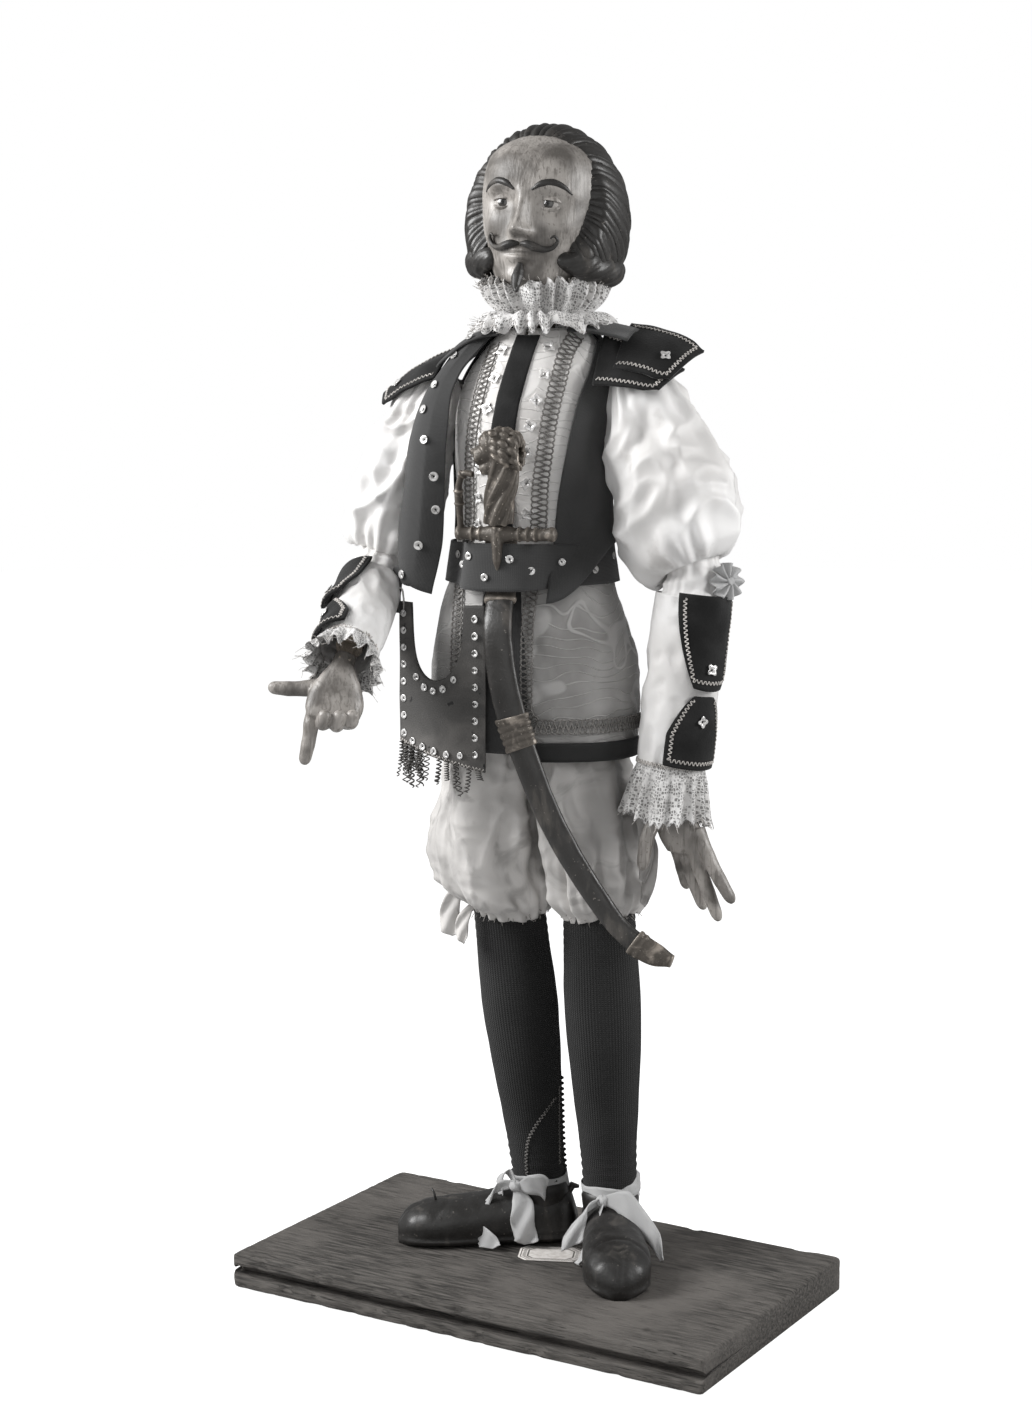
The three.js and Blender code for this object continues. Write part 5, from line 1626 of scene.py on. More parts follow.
def puff_sleeve(side):
    """The gathered sleeve of the upper arm."""
    arm = ARMS[side]
    upper = unit(np.array(arm["arm_way"], float))
    out = unit(np.cross([0, -1.0, 0], upper))
    front = np.cross(upper, out)
    rows = curve([(d, r, 0) for d, r in arm["puff"]], 110)
    pouch_at, pouch = arm["pouch"]

    def at(u, v):
        k = row_at(v, len(rows))
        d, r = rows[k, 0], rows[k, 1]
        folds = satin_folds(u * 360, d, ARM_LENGTH, 3 if side == "left" else 9)
        r = r + folds * np.clip((r - 9) / 16, 0, 1) - 1.8
        a = u * TAU
        place = np.array(arm["shoulder"]) + upper * d[..., None]
        place = place + spoke(out, front, a, r)
        place = place + np.array([-1 if side == "right" else 1, 0, 0]) * (
            arm["puff_out"] * bell(d, 60, 40)
        )[..., None]
        hang = pouch * bell(
            (u * 360 - pouch_at + 180) % 360 - 180, 0, 70
        ) * bell(d, 100, 26) * step(r, 14, 26)
        return place - stack(0, 0, hang)

    shape = sheet(at, 128, len(rows), 0.8, closed=True)
    nodes = [f"{side}_puff_sleeve"]
    piece(
        f"{side}_satin_puff", shape, SATIN, f"{side}_upper_arm", nodes,
    )


def sleeve_radius(side, d):
    arm = ARMS[side]
    return arm["radius"] * (1 - 0.1 * ((2 * d - arm["forearm"]) / arm["forearm"]) ** 2)


def lower_sleeve(side):
    """The straight sleeve below the puff, folded where it is slack."""
    arm = ARMS[side]
    top, bottom = arm["sleeve"]

    def at(u, v):
        d = top - 1 + (bottom - top + 3) * v
        a = u * TAU
        ring = circle(a, 18, d * 0.5)
        folds = 3.4 * (0.4 - np.abs(rough(ring, 10, 4))) + 1.6 * rough(circle(a, 18, d), 9, 6)
        folds = folds + 0.7 * np.sin(12 * a + 2 * np.sin(2 * a)) * (step(v, 0.8, 1) + 1 - step(v, 0, 0.2))
        r = sleeve_radius(side, d) - 0.9 + np.minimum(folds, 1.0)
        return circle(a, r, -d)

    name = f"{side}_sleeve"
    shape = sheet(at, 96, 80, 0.8, closed=True)
    piece(
        name, shape, SATIN, f"{side}_forearm", [f"{side}_lower_sleeve"],
        from_arm(side)
    )
    if side == "right":
        def strip(u, v):
            d = top + (bottom - top) * v
            a = np.radians(104 + 22 * (u - 0.5) + 5 * np.sin(v * 5))
            r = sleeve_radius(side, d) + 0.9
            return circle(a, r, -d)
        piece(
            "right_sleeve_strip", sheet(strip, 8, 30, 0.8), RIBBON, "right_forearm", (),
            from_arm(side)
        )


def elbow_cloth(side):
    """The gathered end of the sleeve that runs over the elbow, from inside the puff to the lower sleeve."""
    arm = ARMS[side]
    upper, fore = unit(np.array(arm["arm_way"], float)), unit(np.array(arm["forearm_way"], float))
    elbow = np.array(arm["shoulder"]) + upper * ARM_LENGTH
    reach = arm["sleeve"][0] + 4
    path = curve([elbow - upper * 20, elbow - upper * 7, elbow + fore * 8, elbow + fore * reach], 40)
    one, two = frames_along(path, [0, 1.0, 0])
    radius = np.interp(
        np.linspace(0, 1, 40), [0, 0.25, 0.6, 1], [13, 14.5, 15.5, sleeve_radius(side, reach) - 2.4]
    )

    def at(u, v):
        k = row_at(v, 40)
        a = u * TAU
        r = radius[k] + 0.8 * np.sin(14 * a + 2 * np.sin(3 * a)) + 0.6 * np.sin(v * 22 + 2 * np.cos(a))
        return path[k] + spoke(one[k], two[k], a, r)

    cloth = piece(
        f"{side}_elbow_gather", sheet(at, 80, 40, 0.8, closed=True), SATIN, None, (),
    )
    ends = from_figure(np.array([elbow - upper * 14, elbow + fore * (reach - 3)]))
    bend([cloth], f"{side}_upper_arm", f"{side}_forearm", *ends)


def sleeve_flap(side, name, start, end, half, lift, seed):
    """A velvet flap on the outside of the lower sleeve, edged with zigzag cord, with one flower on it."""

    def at(u, v):
        d = start + (end - start) * v
        a = np.radians(ARMS[side]["flap_turn"] + half(v) * (2 * u - 1))
        curl = lift * step(v, 0.45, 1.0) * (0.55 + 0.45 * np.cos((2 * u - 1) * 1.4))
        r = sleeve_radius(side, d) + 1.9 + curl + 0.3 * rough(circle(a, 20, d), 9, seed)
        return circle(a, r, -d - 1.5 * np.cos((2 * u - 1) * 1.5) * step(v, 0.6, 1))

    body, place = f"{side}_forearm", from_arm(side)
    centre = math.radians(ARMS[side]["flap_turn"])
    outward = np.array([math.cos(centre), math.sin(centre), 0])
    piece(
        f"{side}_{name}_velvet", sheet(at, 34, 30, 1.5), VELVET, body,
        [f"{side}_{name}_flap"], place
    )
    piece(f"{side}_{name}_cord", edge_trim(at, outward, 1.5), TRIM, body, place=place)
    spot = (np.array(0.5), np.array(0.78 if name == "elbow" else 0.35))
    out = outer_way(at, *spot, outward)
    for obj in sequins(f"{side}_{name}_flower", None, [(at(*spot) + out * 0.9, out)], 3.0, 4):
        move_to(obj, place)
        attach(obj, body)


def move_to(obj, place):
    """Moves a mesh built in the figure's frame into another frame given in millimetres."""
    count = len(obj.data.vertices)
    flat = np.zeros(count * 3)
    obj.data.vertices.foreach_get("co", flat)
    local = to_figure(flat.reshape(-1, 3))
    obj.data.vertices.foreach_set("co", place(local).ravel())
    obj.data.update()


def lace_cuff(side):
    """The turned back cuff of lace round a sleeve's end."""
    arm = ARMS[side]
    start = arm["sleeve"][1] + 0.5
    count = 15

    def at(u, v):
        a = u * TAU
        pleat = (0.8 + 2.2 * v) * np.sin(count * a + 1.5 * np.sin(2 * a)) + 1.2 * v * np.sin(4 * a + 1)
        r = arm["radius"] - 2.5 + 4.5 * v + pleat * step(v, 0, 0.3)
        hem = 1.6 * np.cos(count * 2 * a) * step(v, 0.8, 1) + 2 * v * np.sin(3 * a)
        return circle(a, r, -start - arm["cuff"] * v - hem)

    body, place = f"{side}_forearm", from_arm(side)
    shape = sheet(at, 180, 22, 0.5, closed=True)
    net = piece(
        f"{side}_net_cuff", shape, NET, None, [f"{side}_lace_cuff"],
        place
    )
    roll = [at(np.array(k / 48), np.array(0.02)) * [1.03, 1.03, 1] for k in range(49)]
    piece(
        f"{side}_cuff_cord", zigzag(roll, np.array(roll) * [1, 1, 0], 2.6, 2.6, 0.45), COTTON, body,
        place=place
    )
    spots = [(draw.random(), draw.uniform(0.9, 1.0)) for _ in range(70)]
    edge = at(*np.array(spots).T)
    ways = [p * [0.03, 0.03, 0] + [0, 0, -1.2] for p in edge]
    threads = piece(f"{side}_cuff_threads", fray(edge, ways, 7, 0.15), COTTON, None, place=place)
    ends = place([(0, 0, -start), (0, 0, -start - arm["cuff"] * 0.8)])
    bend([net, threads], body, f"{side}_hand", *ends)


PALM_SQUARE = 2.4


def digit(points, thick):
    """A finger with soft knuckles and a rounded tip."""
    path = curve(points, 30)
    t = np.linspace(0, 1, 30)
    knuckles = 1 + 0.07 * bell(t, 0.36, 0.09) + 0.06 * bell(t, 0.68, 0.08)
    tip = np.sqrt(np.clip(1 - np.clip((t - 0.88) / 0.13, 0, 1) ** 2, 0.02, 1))
    return tube(path, thick * (1 - 0.26 * t) * knuckles * tip, 14)


def hand(side):
    """A carved hand with its fingers and thumb."""
    data = HANDS[side]
    rows = np.array(data["palm"], float)

    def palm(u, v):
        d, x, y, rx, ry = np.moveaxis(
            follow(np.column_stack([np.linspace(0, 1, len(rows)), rows]), v), -1, 0
        )
        a, power = u * TAU, 2 / PALM_SQUARE
        return stack(x + rx * corner(np.cos(a), power), y + ry * corner(np.sin(a), power), -d)

    shape = solid(palm, 28, 24)
    shape.join(tube([(0, 0, 3), (0, 0, -8), (1, 0, -16)], [6, 7.5, 8], 14))
    shape.join(digit(data["thumb"], 5.2))
    for points in data["fingers"]:
        shape.join(digit(points, 4.9))
    hand_place = from_arm(side, "fore", True)
    piece(
        f"{side}_carved_hand", shape, FLESH, f"{side}_hand", [f"{side}_hand"],
        place=hand_place, carve=0.7
    )


def rosette():
    """A pinked satin rosette where the left sleeve is gathered at the elbow."""
    middle = np.array([120.0, -14, 446])
    across, up, out = surface_frame(unit(np.array([0.75, -0.6, 0.1])))

    def at(u, v):
        a = u * TAU
        r = 2.5 + 8.5 * v
        lift = (0.6 + 2.4 * v) * np.sin(9 * a + 2 * v) + 3 * (1 - v)
        return middle + spoke(across, up, a, r) + out * lift[..., None]

    shape = sheet(at, 90, 10, 0.6, closed=True)
    piece(
        "left_rosette", shape, SATIN_RIBBON, "left_upper_arm", (),
    )
    piece(
        "left_rosette_knot", knot(middle + out * 1.5, 3.4), SATIN_RIBBON, "left_upper_arm"
    )


def arms():
    """Both arms from the puff sleeves to the hands."""
    for side, arm in ARMS.items():
        puff_sleeve(side)
        elbow_cloth(side)
        lower_sleeve(side)
        top, bottom = arm["sleeve"]
        middle = (top + bottom) / 2
        sleeve_flap(side, "elbow", top - 3, middle + 2, lambda v: 56 * (1 - 0.62 * v**1.7), 3.5, 1)
        sleeve_flap(
            side, "wrist", middle + 7, bottom, lambda v: 50 * np.sqrt(np.clip(0.1 + 1.6 * v, 0, 1)), 2.0,
            2
        )
        lace_cuff(side)
        hand(side)
    rosette()


# ---- Head and collar -------------------------------------------------------------------------------------

HEAD_TURN = {"x": 5, "z": 655, "yaw": math.radians(-4), "roll": math.radians(3.5)}
# The bare head: height, half width, depth to the front, depth to the back.
SKULL = [
    [600, 14, 11, 13], [608, 15, 14, 16], [612, 17, 22, 19], [616, 20, 32, 22], [620, 24, 37.5, 25],
    [628, 29, 40, 30],
    [637, 32.5, 41, 35], [646, 35, 41.5, 38], [660, 37, 42.5, 40], [674, 38, 43.5, 40], [686, 37, 42, 38],
    [695, 33, 37.5, 34], [702, 24, 29, 26], [707, 13, 17, 15], [709, 4, 5, 5],
]
FACE_POWER = 2.25
EYE = {"x": 14, "z": 666, "r": 7.2, "y": -31.6}


def from_head(points):
    """The head's own upright frame, mm, to the row frame, m."""
    x, y, z = np.asarray(points, float).T
    z = z - HEAD_TURN["z"]
    cr, sr = math.cos(HEAD_TURN["roll"]), math.sin(HEAD_TURN["roll"])
    x, z = x * cr + z * sr, z * cr - x * sr
    cy, sy = math.cos(HEAD_TURN["yaw"]), math.sin(HEAD_TURN["yaw"])
    return from_figure(
        np.stack([HEAD_TURN["x"] + x * cy - y * sy, x * sy + y * cy, z + HEAD_TURN["z"]], axis=-1)
    )


def relief(x, z):
    """How far a calm, evenly proportioned face stands out from the plain front of the head."""
    side = np.abs(x)
    brow = 2.2 * bell(side, 15, 12) * bell(z, 675.5 - 0.012 * (side - 14) ** 2, 4)
    socket = -3.8 * bell(side, EYE["x"], 9.5) * bell(z, EYE["z"] + 0.5, 6.5)
    bridge = step(z, 646, 651) * (1 - step(z, 664, 682))
    ridge = (3.5 + 7.5 * (1 - step(z, 650, 672))) * bell(
        x, 0, 3.6 + 1.6 * (1 - step(z, 648, 664))
    ) * bridge
    tip = 3.0 * bell(x, 0, 4.2) * bell(z, 651, 3.6)
    wings = 4.2 * bell(side, 5.2, 2.6) * bell(z, 649, 3.2)
    cheek = 2.0 * bell(side, 23, 9) * bell(z, 654, 9)
    muzzle = 2.4 * bell(x, 0, 12) * bell(z, 638, 8)
    upper_lip = 1.9 * bell(side, 2.6, 6.2) * bell(z, 638.9, 1.7)
    lower_lip = 2.3 * bell(x, 0, 7.0) * bell(z, 634.6, 2.0)
    parting = -1.3 * bell(x, 0, 8.5) * bell(z, 636.9, 0.8)
    under_lip = -1.4 * bell(x, 0, 7) * bell(z, 630.2, 2.2)
    chin = 3.2 * bell(x, 0, 9) * bell(z, 622.5, 5)
    temple = -1.6 * bell(side, 34, 6) * bell(z, 682, 12)
    return (
        brow + socket + ridge + tip + wings + cheek + muzzle + upper_lip + lower_lip + parting
        + under_lip + chin + temple
    )


def face_front(x, z):
    """The front of the face at x and z in the head's frame."""
    wide, deep = np.moveaxis(follow(SKULL, z)[..., :2], -1, 0)
    share = np.clip(np.abs(x) / wide, 0, 0.995)
    return -deep * (1 - share**FACE_POWER) ** (1 / FACE_POWER) - relief(x, z)


def face_spot(x, z, lift=0.0):
    x, z = np.asarray(x, float), np.asarray(z, float)
    return stack(x, face_front(x, z) - lift, z)


def bare_head():
    """The carved head with its face and neck."""
    heights = np.concatenate(
        [np.linspace(600, 616, 10), np.linspace(617, 685, 104), np.linspace(687, 709, 14)]
    )
    quarter = np.linspace(0, 1, 56)
    turn = np.concatenate([np.linspace(-0.5, 0.5, 120, endpoint=False), 0.5 + quarter[:-1]]) * math.pi

    def at(u, v):
        k = np.round(u * len(turn)).astype(int) % len(turn)
        a, z = turn[k], heights[row_at(v, len(heights))]
        wide, front, back = np.moveaxis(follow(SKULL, z), -1, 0)
        s, c = np.sin(a), np.cos(a)
        power = 2 / FACE_POWER
        x = wide * corner(s, power)
        deep = np.where(c > 0, front, back)
        y = -deep * corner(c, power)
        y = y - np.where(c > 0, relief(x, z) * step(c, 0, 0.25), 0)
        wear = 0.14 * rough(stack(x, y, z), 5, 4)
        return stack(x, y - wear, z)

    piece(
        "carved_head", solid(at, len(turn), len(heights)), FLESH, "head", ["head"],
        place=from_head
    )


def eyes():
    """The painted eyes and their lids."""
    balls, lids = Shape(), Shape()
    for side in (-1, 1):
        middle = np.array([side * EYE["x"], EYE["y"], EYE["z"]])

        def ball(u, v, middle=middle):
            a, b = u * TAU, v * math.pi
            return middle + EYE["r"] * stack(np.sin(b) * np.cos(a), -np.cos(b), np.sin(b) * np.sin(a))

        shape = solid(ball, 32, 24)
        spots = np.array(shape.points) - middle
        front = spots[:, 1] < 0
        shape.uvs = [
            (p[0] * MM, (p[2] - 0.4) * MM) if f else (0.006, 0.006) for p, f in zip(spots, front)
        ]
        balls.join(shape)
        for edge, far in ((15, 78), (-17, -70)):

            def lid(u, v, middle=middle, edge=edge, far=far, side=side):
                around = np.radians(-74 + 148 * u)
                margin = edge * np.cos(around * 1.15) ** 0.8 - 1.5 * side * np.sin(around) * 2
                rise = np.radians(margin * (1 - v) + far * v)
                r = EYE["r"] + 0.75 - 0.5 * v
                return middle + r[..., None] * stack(
                    np.sin(around) * np.cos(rise), -np.cos(around) * np.cos(rise), np.sin(rise)
                )

            lids.join(sheet(lid, 30, 12, 0.9))
    piece("eyes", balls, eye_paint(), "head", place=from_head)
    piece("eyelids", lids, FLESH, "head", place=from_head)


def tapered(places, radius, sides=12, flat=0.7, ridges=5, hint=None, count=40):
    """A lock of hair that ends in a point."""
    path = curve(places, count)
    radii = np.interp(np.linspace(0, 1, count), np.linspace(0, 1, len(radius)), radius)
    return tube(path, radii, sides, flat, hint, ridges, 0.12)


# Half of the moustache from the middle out: x, height and lift above the skin.
MOUSTACHE = [
    (0.6, 642.6, 1.0), (5, 642.4, 2.0), (10, 640.6, 2.2), (15, 639.8, 2.2), (19.2, 641.6, 2.2),
    (21.2, 645.2, 2.4), (19.6, 647.6, 2.8), (17.8, 646.2, 3.0),
]


def face_hair():
    """Brows, moustache and beard."""
    brows, beard = Shape(), Shape()
    for side in (-1, 1):
        arch = [
            face_spot(side * x, z, 0.1) for x, z in (
                (5.5, 673.5), (11, 677), (17, 678.2), (23, 676), (27, 671.8)
            )
        ]
        brows.join(tapered(arch, (0.7, 1.7, 1.8, 1.3, 0.4), 12, 0.55, 4, (0, 1.0, 0)))
        wing = [
            face_spot(side * x, z, lift)
            for x, z, lift in MOUSTACHE
        ]
        beard.join(tapered(wing, (1.2, 2.6, 2.9, 2.3, 1.7, 1.3, 1.0, 0.5), 16, 0.85, 6, None, 60))
    tuft = [
        face_spot(0, 631.5, 0.4), face_spot(0, 628, 1.6), face_spot(0, 622.5, 2.6), [0.5, -47.5, 617.5],
        [2.2, -50, 615.5], [3.2, -50.4, 618]
    ]
    beard.join(tapered(tuft, (1.4, 2.8, 3.4, 2.6, 1.7, 0.6), 16, 0.85, 6, None, 50))
    piece("eyebrows", brows, HAIR, "head", place=from_head)
    piece("moustache_and_beard", beard, HAIR, "head", place=from_head)


HAIR_SHELL = {"middle": (0, 1, 655), "half": np.array([48.3, 45.6, 58.2]), "face_tilt": 20, "spread": 128}


def hair_strand(angle, away):
    """A point on the hair's shell: angle round from straight up and degrees away from the face's middle."""
    tilt = math.radians(HAIR_SHELL["face_tilt"])
    ahead = np.array([0, -math.cos(tilt), math.sin(tilt)])
    up = np.array([0, math.sin(tilt), math.cos(tilt)])
    a, b = np.radians(angle)[..., None], np.radians(away)[..., None]
    way = np.cos(b) * ahead + np.sin(b) * (np.cos(a) * up + np.sin(a) * np.array([1.0, 0, 0]))
    reach = 1 / np.linalg.norm(way / HAIR_SHELL["half"], axis=-1)
    return np.array(HAIR_SHELL["middle"]) + way * reach[..., None]


def hair():
    """Hair combed back from the forehead in carved strands."""
    spread = HAIR_SHELL["spread"]
    steps = np.linspace(0, 1, 90)

    def away_range(angle):
        lean = np.abs(angle) / spread
        start = 37 + 15 * np.sin(np.minimum(lean, 0.9) * math.pi / 1.8) ** 2
        full = start[..., None] + (178 - start[..., None]) * steps
        swing = angle[..., None] * (1 + 0.5 * (full - start[..., None]) / 100)
        place = hair_strand(np.clip(swing, -178, 178), full)
        low = place[..., 2] < 633
        first = np.where(low.any(axis=-1), low.argmax(axis=-1), len(steps) - 1)
        return start, np.take_along_axis(full, first[..., None], axis=-1)[..., 0]

    angles = np.linspace(-spread, spread, 300)
    starts, ends = away_range(angles)
    ends = np.convolve(np.pad(ends, 6, mode="edge"), np.ones(13) / 13, mode="valid")

    def at(u, v):
        angle = -spread + 2 * spread * u
        start, end = np.interp(angle, angles, starts), np.interp(angle, angles, ends)
        away = start + (np.maximum(end, start + 14) - start) * v
        swing = np.clip(angle * (1 + 0.5 * (away - start) / 100), -178, 178)
        place = hair_strand(swing, away)
        bend = rough(stack(angle * 0.12, away * 0.035, 0 * u), 1.0, 3)
        locks = np.abs(np.sin(np.radians(angle * 11 + 120 * bend)))
        strands = np.sin(np.radians(angle * 62 + 260 * bend))
        face_side = 0.93 - 0.10 * np.abs(np.sin(np.radians(np.minimum(np.abs(angle), 90))))
        grow = face_side + (1 - face_side) * step(away - start, 0, 15)
        grow = grow + (0.018 * locks - 0.018 + 0.010 * strands) * step(away - start, -6, 5)
        middle = np.array(HAIR_SHELL["middle"])
        return middle + (place - middle) * grow[..., None]

    piece("combed_hair", sheet(at, 380, 72, 3.0), HAIR, "head", place=from_head)


def hair_roll():
    """The thick rolled ends of the hair, from one side of the face round the nape to the other."""
    turn = np.radians(np.linspace(-152, 152, 200))
    lift = 632.5 + 2 * np.cos(turn * 2) - 1.5 * np.cos(turn)
    path = stack(39.5 * np.sin(turn), 1 + 37.5 * np.cos(turn), lift)
    share = np.abs(turn) / turn.max()
    radius = 8.6 * (1 - 0.45 * step(share, 0.8, 1.0)) * (1 + 0.05 * np.sin(turn * 9))
    side, up = frames_along(path, [0, 0, 1.0])

    def at(u, v):
        k = row_at(v, len(path))
        a = u * TAU
        twist = 11 * turn[k]
        groove = 1 + 0.05 * np.sin(a * 3 + twist * 2) + 0.022 * np.sin(a * 14 + twist * 5)
        end = np.sqrt(np.clip(1 - np.clip((share[k] - 0.95) / 0.05, 0, 1) ** 2, 0.03, 1))
        r = radius[k] * groove * end
        return path[k] + side[k] * (r * np.cos(a))[..., None] + up[k] * (r * np.sin(a) * 1.05)[..., None]

    piece("rolled_hair", solid(at, 72, len(path)), HAIR, "head", place=from_head)


NECK = (4, -1)


def frill(name, rows, pleats, depth, seed):
    """One gathered frill of the collar, from its sewn edge to its loose edge."""
    rows = curve([(r, z, 0) for r, z in rows], 26)

    def at(u, v):
        k = row_at(v, len(rows))
        a = u * TAU
        wander = 2.6 * np.sin(3 * a + seed) + 1.7 * np.sin(7 * a + 2 * seed)
        wave = depth * step(v, 0.0, 0.7) * np.sin(pleats * a + wander)
        sway = 0.9 * depth * v * np.cos(pleats * a + wander + 0.8)
        ragged = 1.6 * step(v, 0.75, 1.0) * rough(circle(a, 40, 0 * u), 3.1, seed)
        r = rows[k, 0] + wave * 0.75 + ragged
        return circle(a, r, rows[k, 1] + sway * 0.8 + ragged, *NECK)

    piece(
        name, sheet(at, 420, 26, 0.5, closed=True), NET, "figure", ["lace_collar"],
    )
    spots = [(draw.random(), draw.uniform(0.85, 1.0)) for _ in range(150)]
    edge = at(*np.array(spots).T)
    ways = [unit(p - [*NECK, p[2]]) + [0, 0, 0.3 * (rows[-1, 1] - rows[0, 1]) / 10] for p in edge]
    piece(f"{name}_threads", fray(edge, ways, 6.5, 0.14), COTTON, "figure")


def head_and_collar():
    """The head, its hair and the ruff."""
    bare_head()
    eyes()
    face_hair()
    hair()
    hair_roll()
    frill("upper_frill", [(23, 600), (29, 606), (34.5, 614), (37.5, 622)], 24, 3.4, 1)
    frill("lower_frill", [(23, 600), (31, 603), (39, 601), (43, 593.5)], 21, 3.8, 5)


# ---- Sabre and hip panel ---------------------------------------------------------------------------------

# The scabbard's middle line and half width: x, y, z, half width.
SABRE_LINE = [
    [-9, -48, 470, 8.5], [-9, -49, 437, 8.8], [-8, -58, 423, 9], [-5, -61, 395, 9.3], [2, -61, 365, 9.3],
    [10, -61, 343, 8.6], [22, -61, 314, 8.2], [38, -61, 285, 7.8], [55, -61, 260, 7.3],
    [70, -61, 242, 6.8],
    [86, -61, 231, 7], [100, -61, 226, 5],
]
HILT = (-9, -53, 480.5)


def scabbard_surface(start, end, grow, rows, shape=None):
    """A closed length of the scabbard between two shares of its line, grown by some millimetres."""
    route, halves = np.array(SABRE_LINE)[:, :3], np.array(SABRE_LINE)[:, 3]
    line = curve(route, 400)
    places = distances(route) / distances(route)[-1] * 399
    width = follow(np.column_stack([places, halves]), np.arange(400))[:, 0]

    def at(u, v):
        share = start + (end - start) * v
        k = share * 399
        low = np.clip(k.astype(int), 0, 398)
        part = (k - low)[..., None]
        middle = line[low] * (1 - part) + line[low + 1] * part
        along = unit(line[np.minimum(low + 3, 399)] - line[np.maximum(low - 3, 0)])
        across = unit(np.cross([0, -1.0, 0], along))
        out = np.cross(along, across)
        c, s = np.cos(u * TAU), np.sin(u * TAU)
        half = np.interp(k, np.arange(400), width) - 0.4 + grow + (shape(v) if shape else 0)
        deep = 3.4 + grow * 0.8 + (shape(v) * 0.5 if shape else 0)
        x = half * corner(c, 0.75)
        y = deep * corner(s, 0.9)
        wear = 0.25 * rough(middle + stack(x, y, 0 * x), 9, 2) if not shape else 0
        return middle + across * (x + wear)[..., None] + out * (y + wear)[..., None]

    return solid(at, 40, rows)


def scabbard():
    """The scabbard with its metal fittings."""
    piece(
        "scabbard_body", scabbard_surface(0.06, 0.985, 0, 190), SCABBARD, "sabre",
        ["scabbard"]
    )
    ribs = lambda v: 0.8 * np.abs(np.sin(v * math.pi * 5)) + 0.5 * (
        bell(v, 0.02, 0.05) + bell(v, 0.98, 0.05)
    )
    piece(
        "ribbed_band", scabbard_surface(0.375, 0.445, 0.9, 44, ribs), BRONZE, "sabre",
        ["scabbard_band"]
    )
    cap = lambda v: 0.9 * bell(v, 0.05, 0.07) + 0.6 * bell(v, 0.2, 0.05) - 1.6 * step(v, 0.6, 1.0)
    piece(
        "tip_cap", scabbard_surface(0.91, 1.0, 0.8, 36, cap), BRONZE, "sabre",
        ["scabbard_chape"]
    )
    throat = lambda v: 0.8 * bell(v, 0.04, 0.08) + 0.7 * bell(v, 0.95, 0.05)
    piece("throat_cap", scabbard_surface(0.0, 0.13, 0.9, 30, throat), BRONZE, "sabre")


def crossguard():
    """The guard of the sabre."""
    path = curve(
        [(-36, -53, 474.6), (-30, -53, 474.2), (-9, -53, 474), (16, -53, 473.8), (27, -53, 474.4)], 60
    )
    t = np.linspace(0, 1, 60)
    radius = 3.7 + 1.4 * bell(t, 0.03, 0.05) + 1.2 * bell(t, 0.97, 0.05) + 2.2 * bell(t, 0.43, 0.12)
    shape = tube(path, radius * np.sqrt(np.clip(1 - np.abs(2 * t - 1) ** 24, 0.05, 1)), 20)
    for x in (-25, -20, 4, 9, 14):
        shape.join(tube([(x - 0.9, -53, 474), (x, -53, 474), (x + 0.9, -53, 474)], [4.2, 4.9, 4.2], 20))
    shape.join(
        tube(
            [(-9, -53, 478), (-9, -54, 468), (-9, -54.5, 458), (-9, -54.5, 452)], [7, 6.5, 5, 1.5], 16,
            0.55, (1.0, 0, 0)
        )
    )
    piece("cross_guard", shape, BRONZE, "sabre", ["sabre_crossguard"], carve=0.6)


# Parts of the lion's head on its middle: places, radii and number of sides.
LION_HEAD = {
    "skull": (
        [(-2, -60, 524), (-7, -60, 527), (-12, -60.5, 526), (-15, -61, 524)], [8.5, 9.6, 9.0, 7.0], 22
    ),
    "muzzle": (
        [(-12, -60.5, 522), (-16, -61, 520.5), (-19.5, -61, 519.5), (-20.8, -61, 519.3)],
        [6.4, 6.2, 5.6, 3.6], 18,
    ),
    "nose": ([(-20, -61, 523.2), (-21.8, -61, 522.2), (-22.2, -61, 520.6)], [1.8, 2.4, 1.2], 12),
    "jaw": ([(-10, -60.5, 515), (-14, -61, 512.6), (-17.4, -61, 511.6)], [5.0, 4.4, 3.0], 14),
}
# Parts on both sides of it: x, y (middle, how far aside) and z, steps from there, radii, number of sides.
LION_PAIRS = {
    "ear": ((-8, (-60, 8.2), 532.5), [(0, 0, 0), (0.6, 1.2, 1.2), (1.0, 1.8, 2.2)], [2.6, 2.9, 1.6], 12),
    "brow": (
        (-14.5, (-60.5, 3.6), 529), [(1.5, 0, 1.5), (0, 0, 0), (-2.2, 0.8, -2.6)], [1.6, 2.2, 1.2], 10
    ),
    "cheek": ((-18.2, (-61, 4.0), 518.6), [(2, 0, 1), (0, 0, 0), (-1.2, -1, -1.2)], [2.4, 2.7, 1.6], 10),
}
# Rows of the mane's curls, from the face backwards: x, reach from the middle and number of curls.
MANE_ROWS = [(-9, 9.6, 13), (-4.5, 10.4, 12), (0.5, 9.4, 10)]


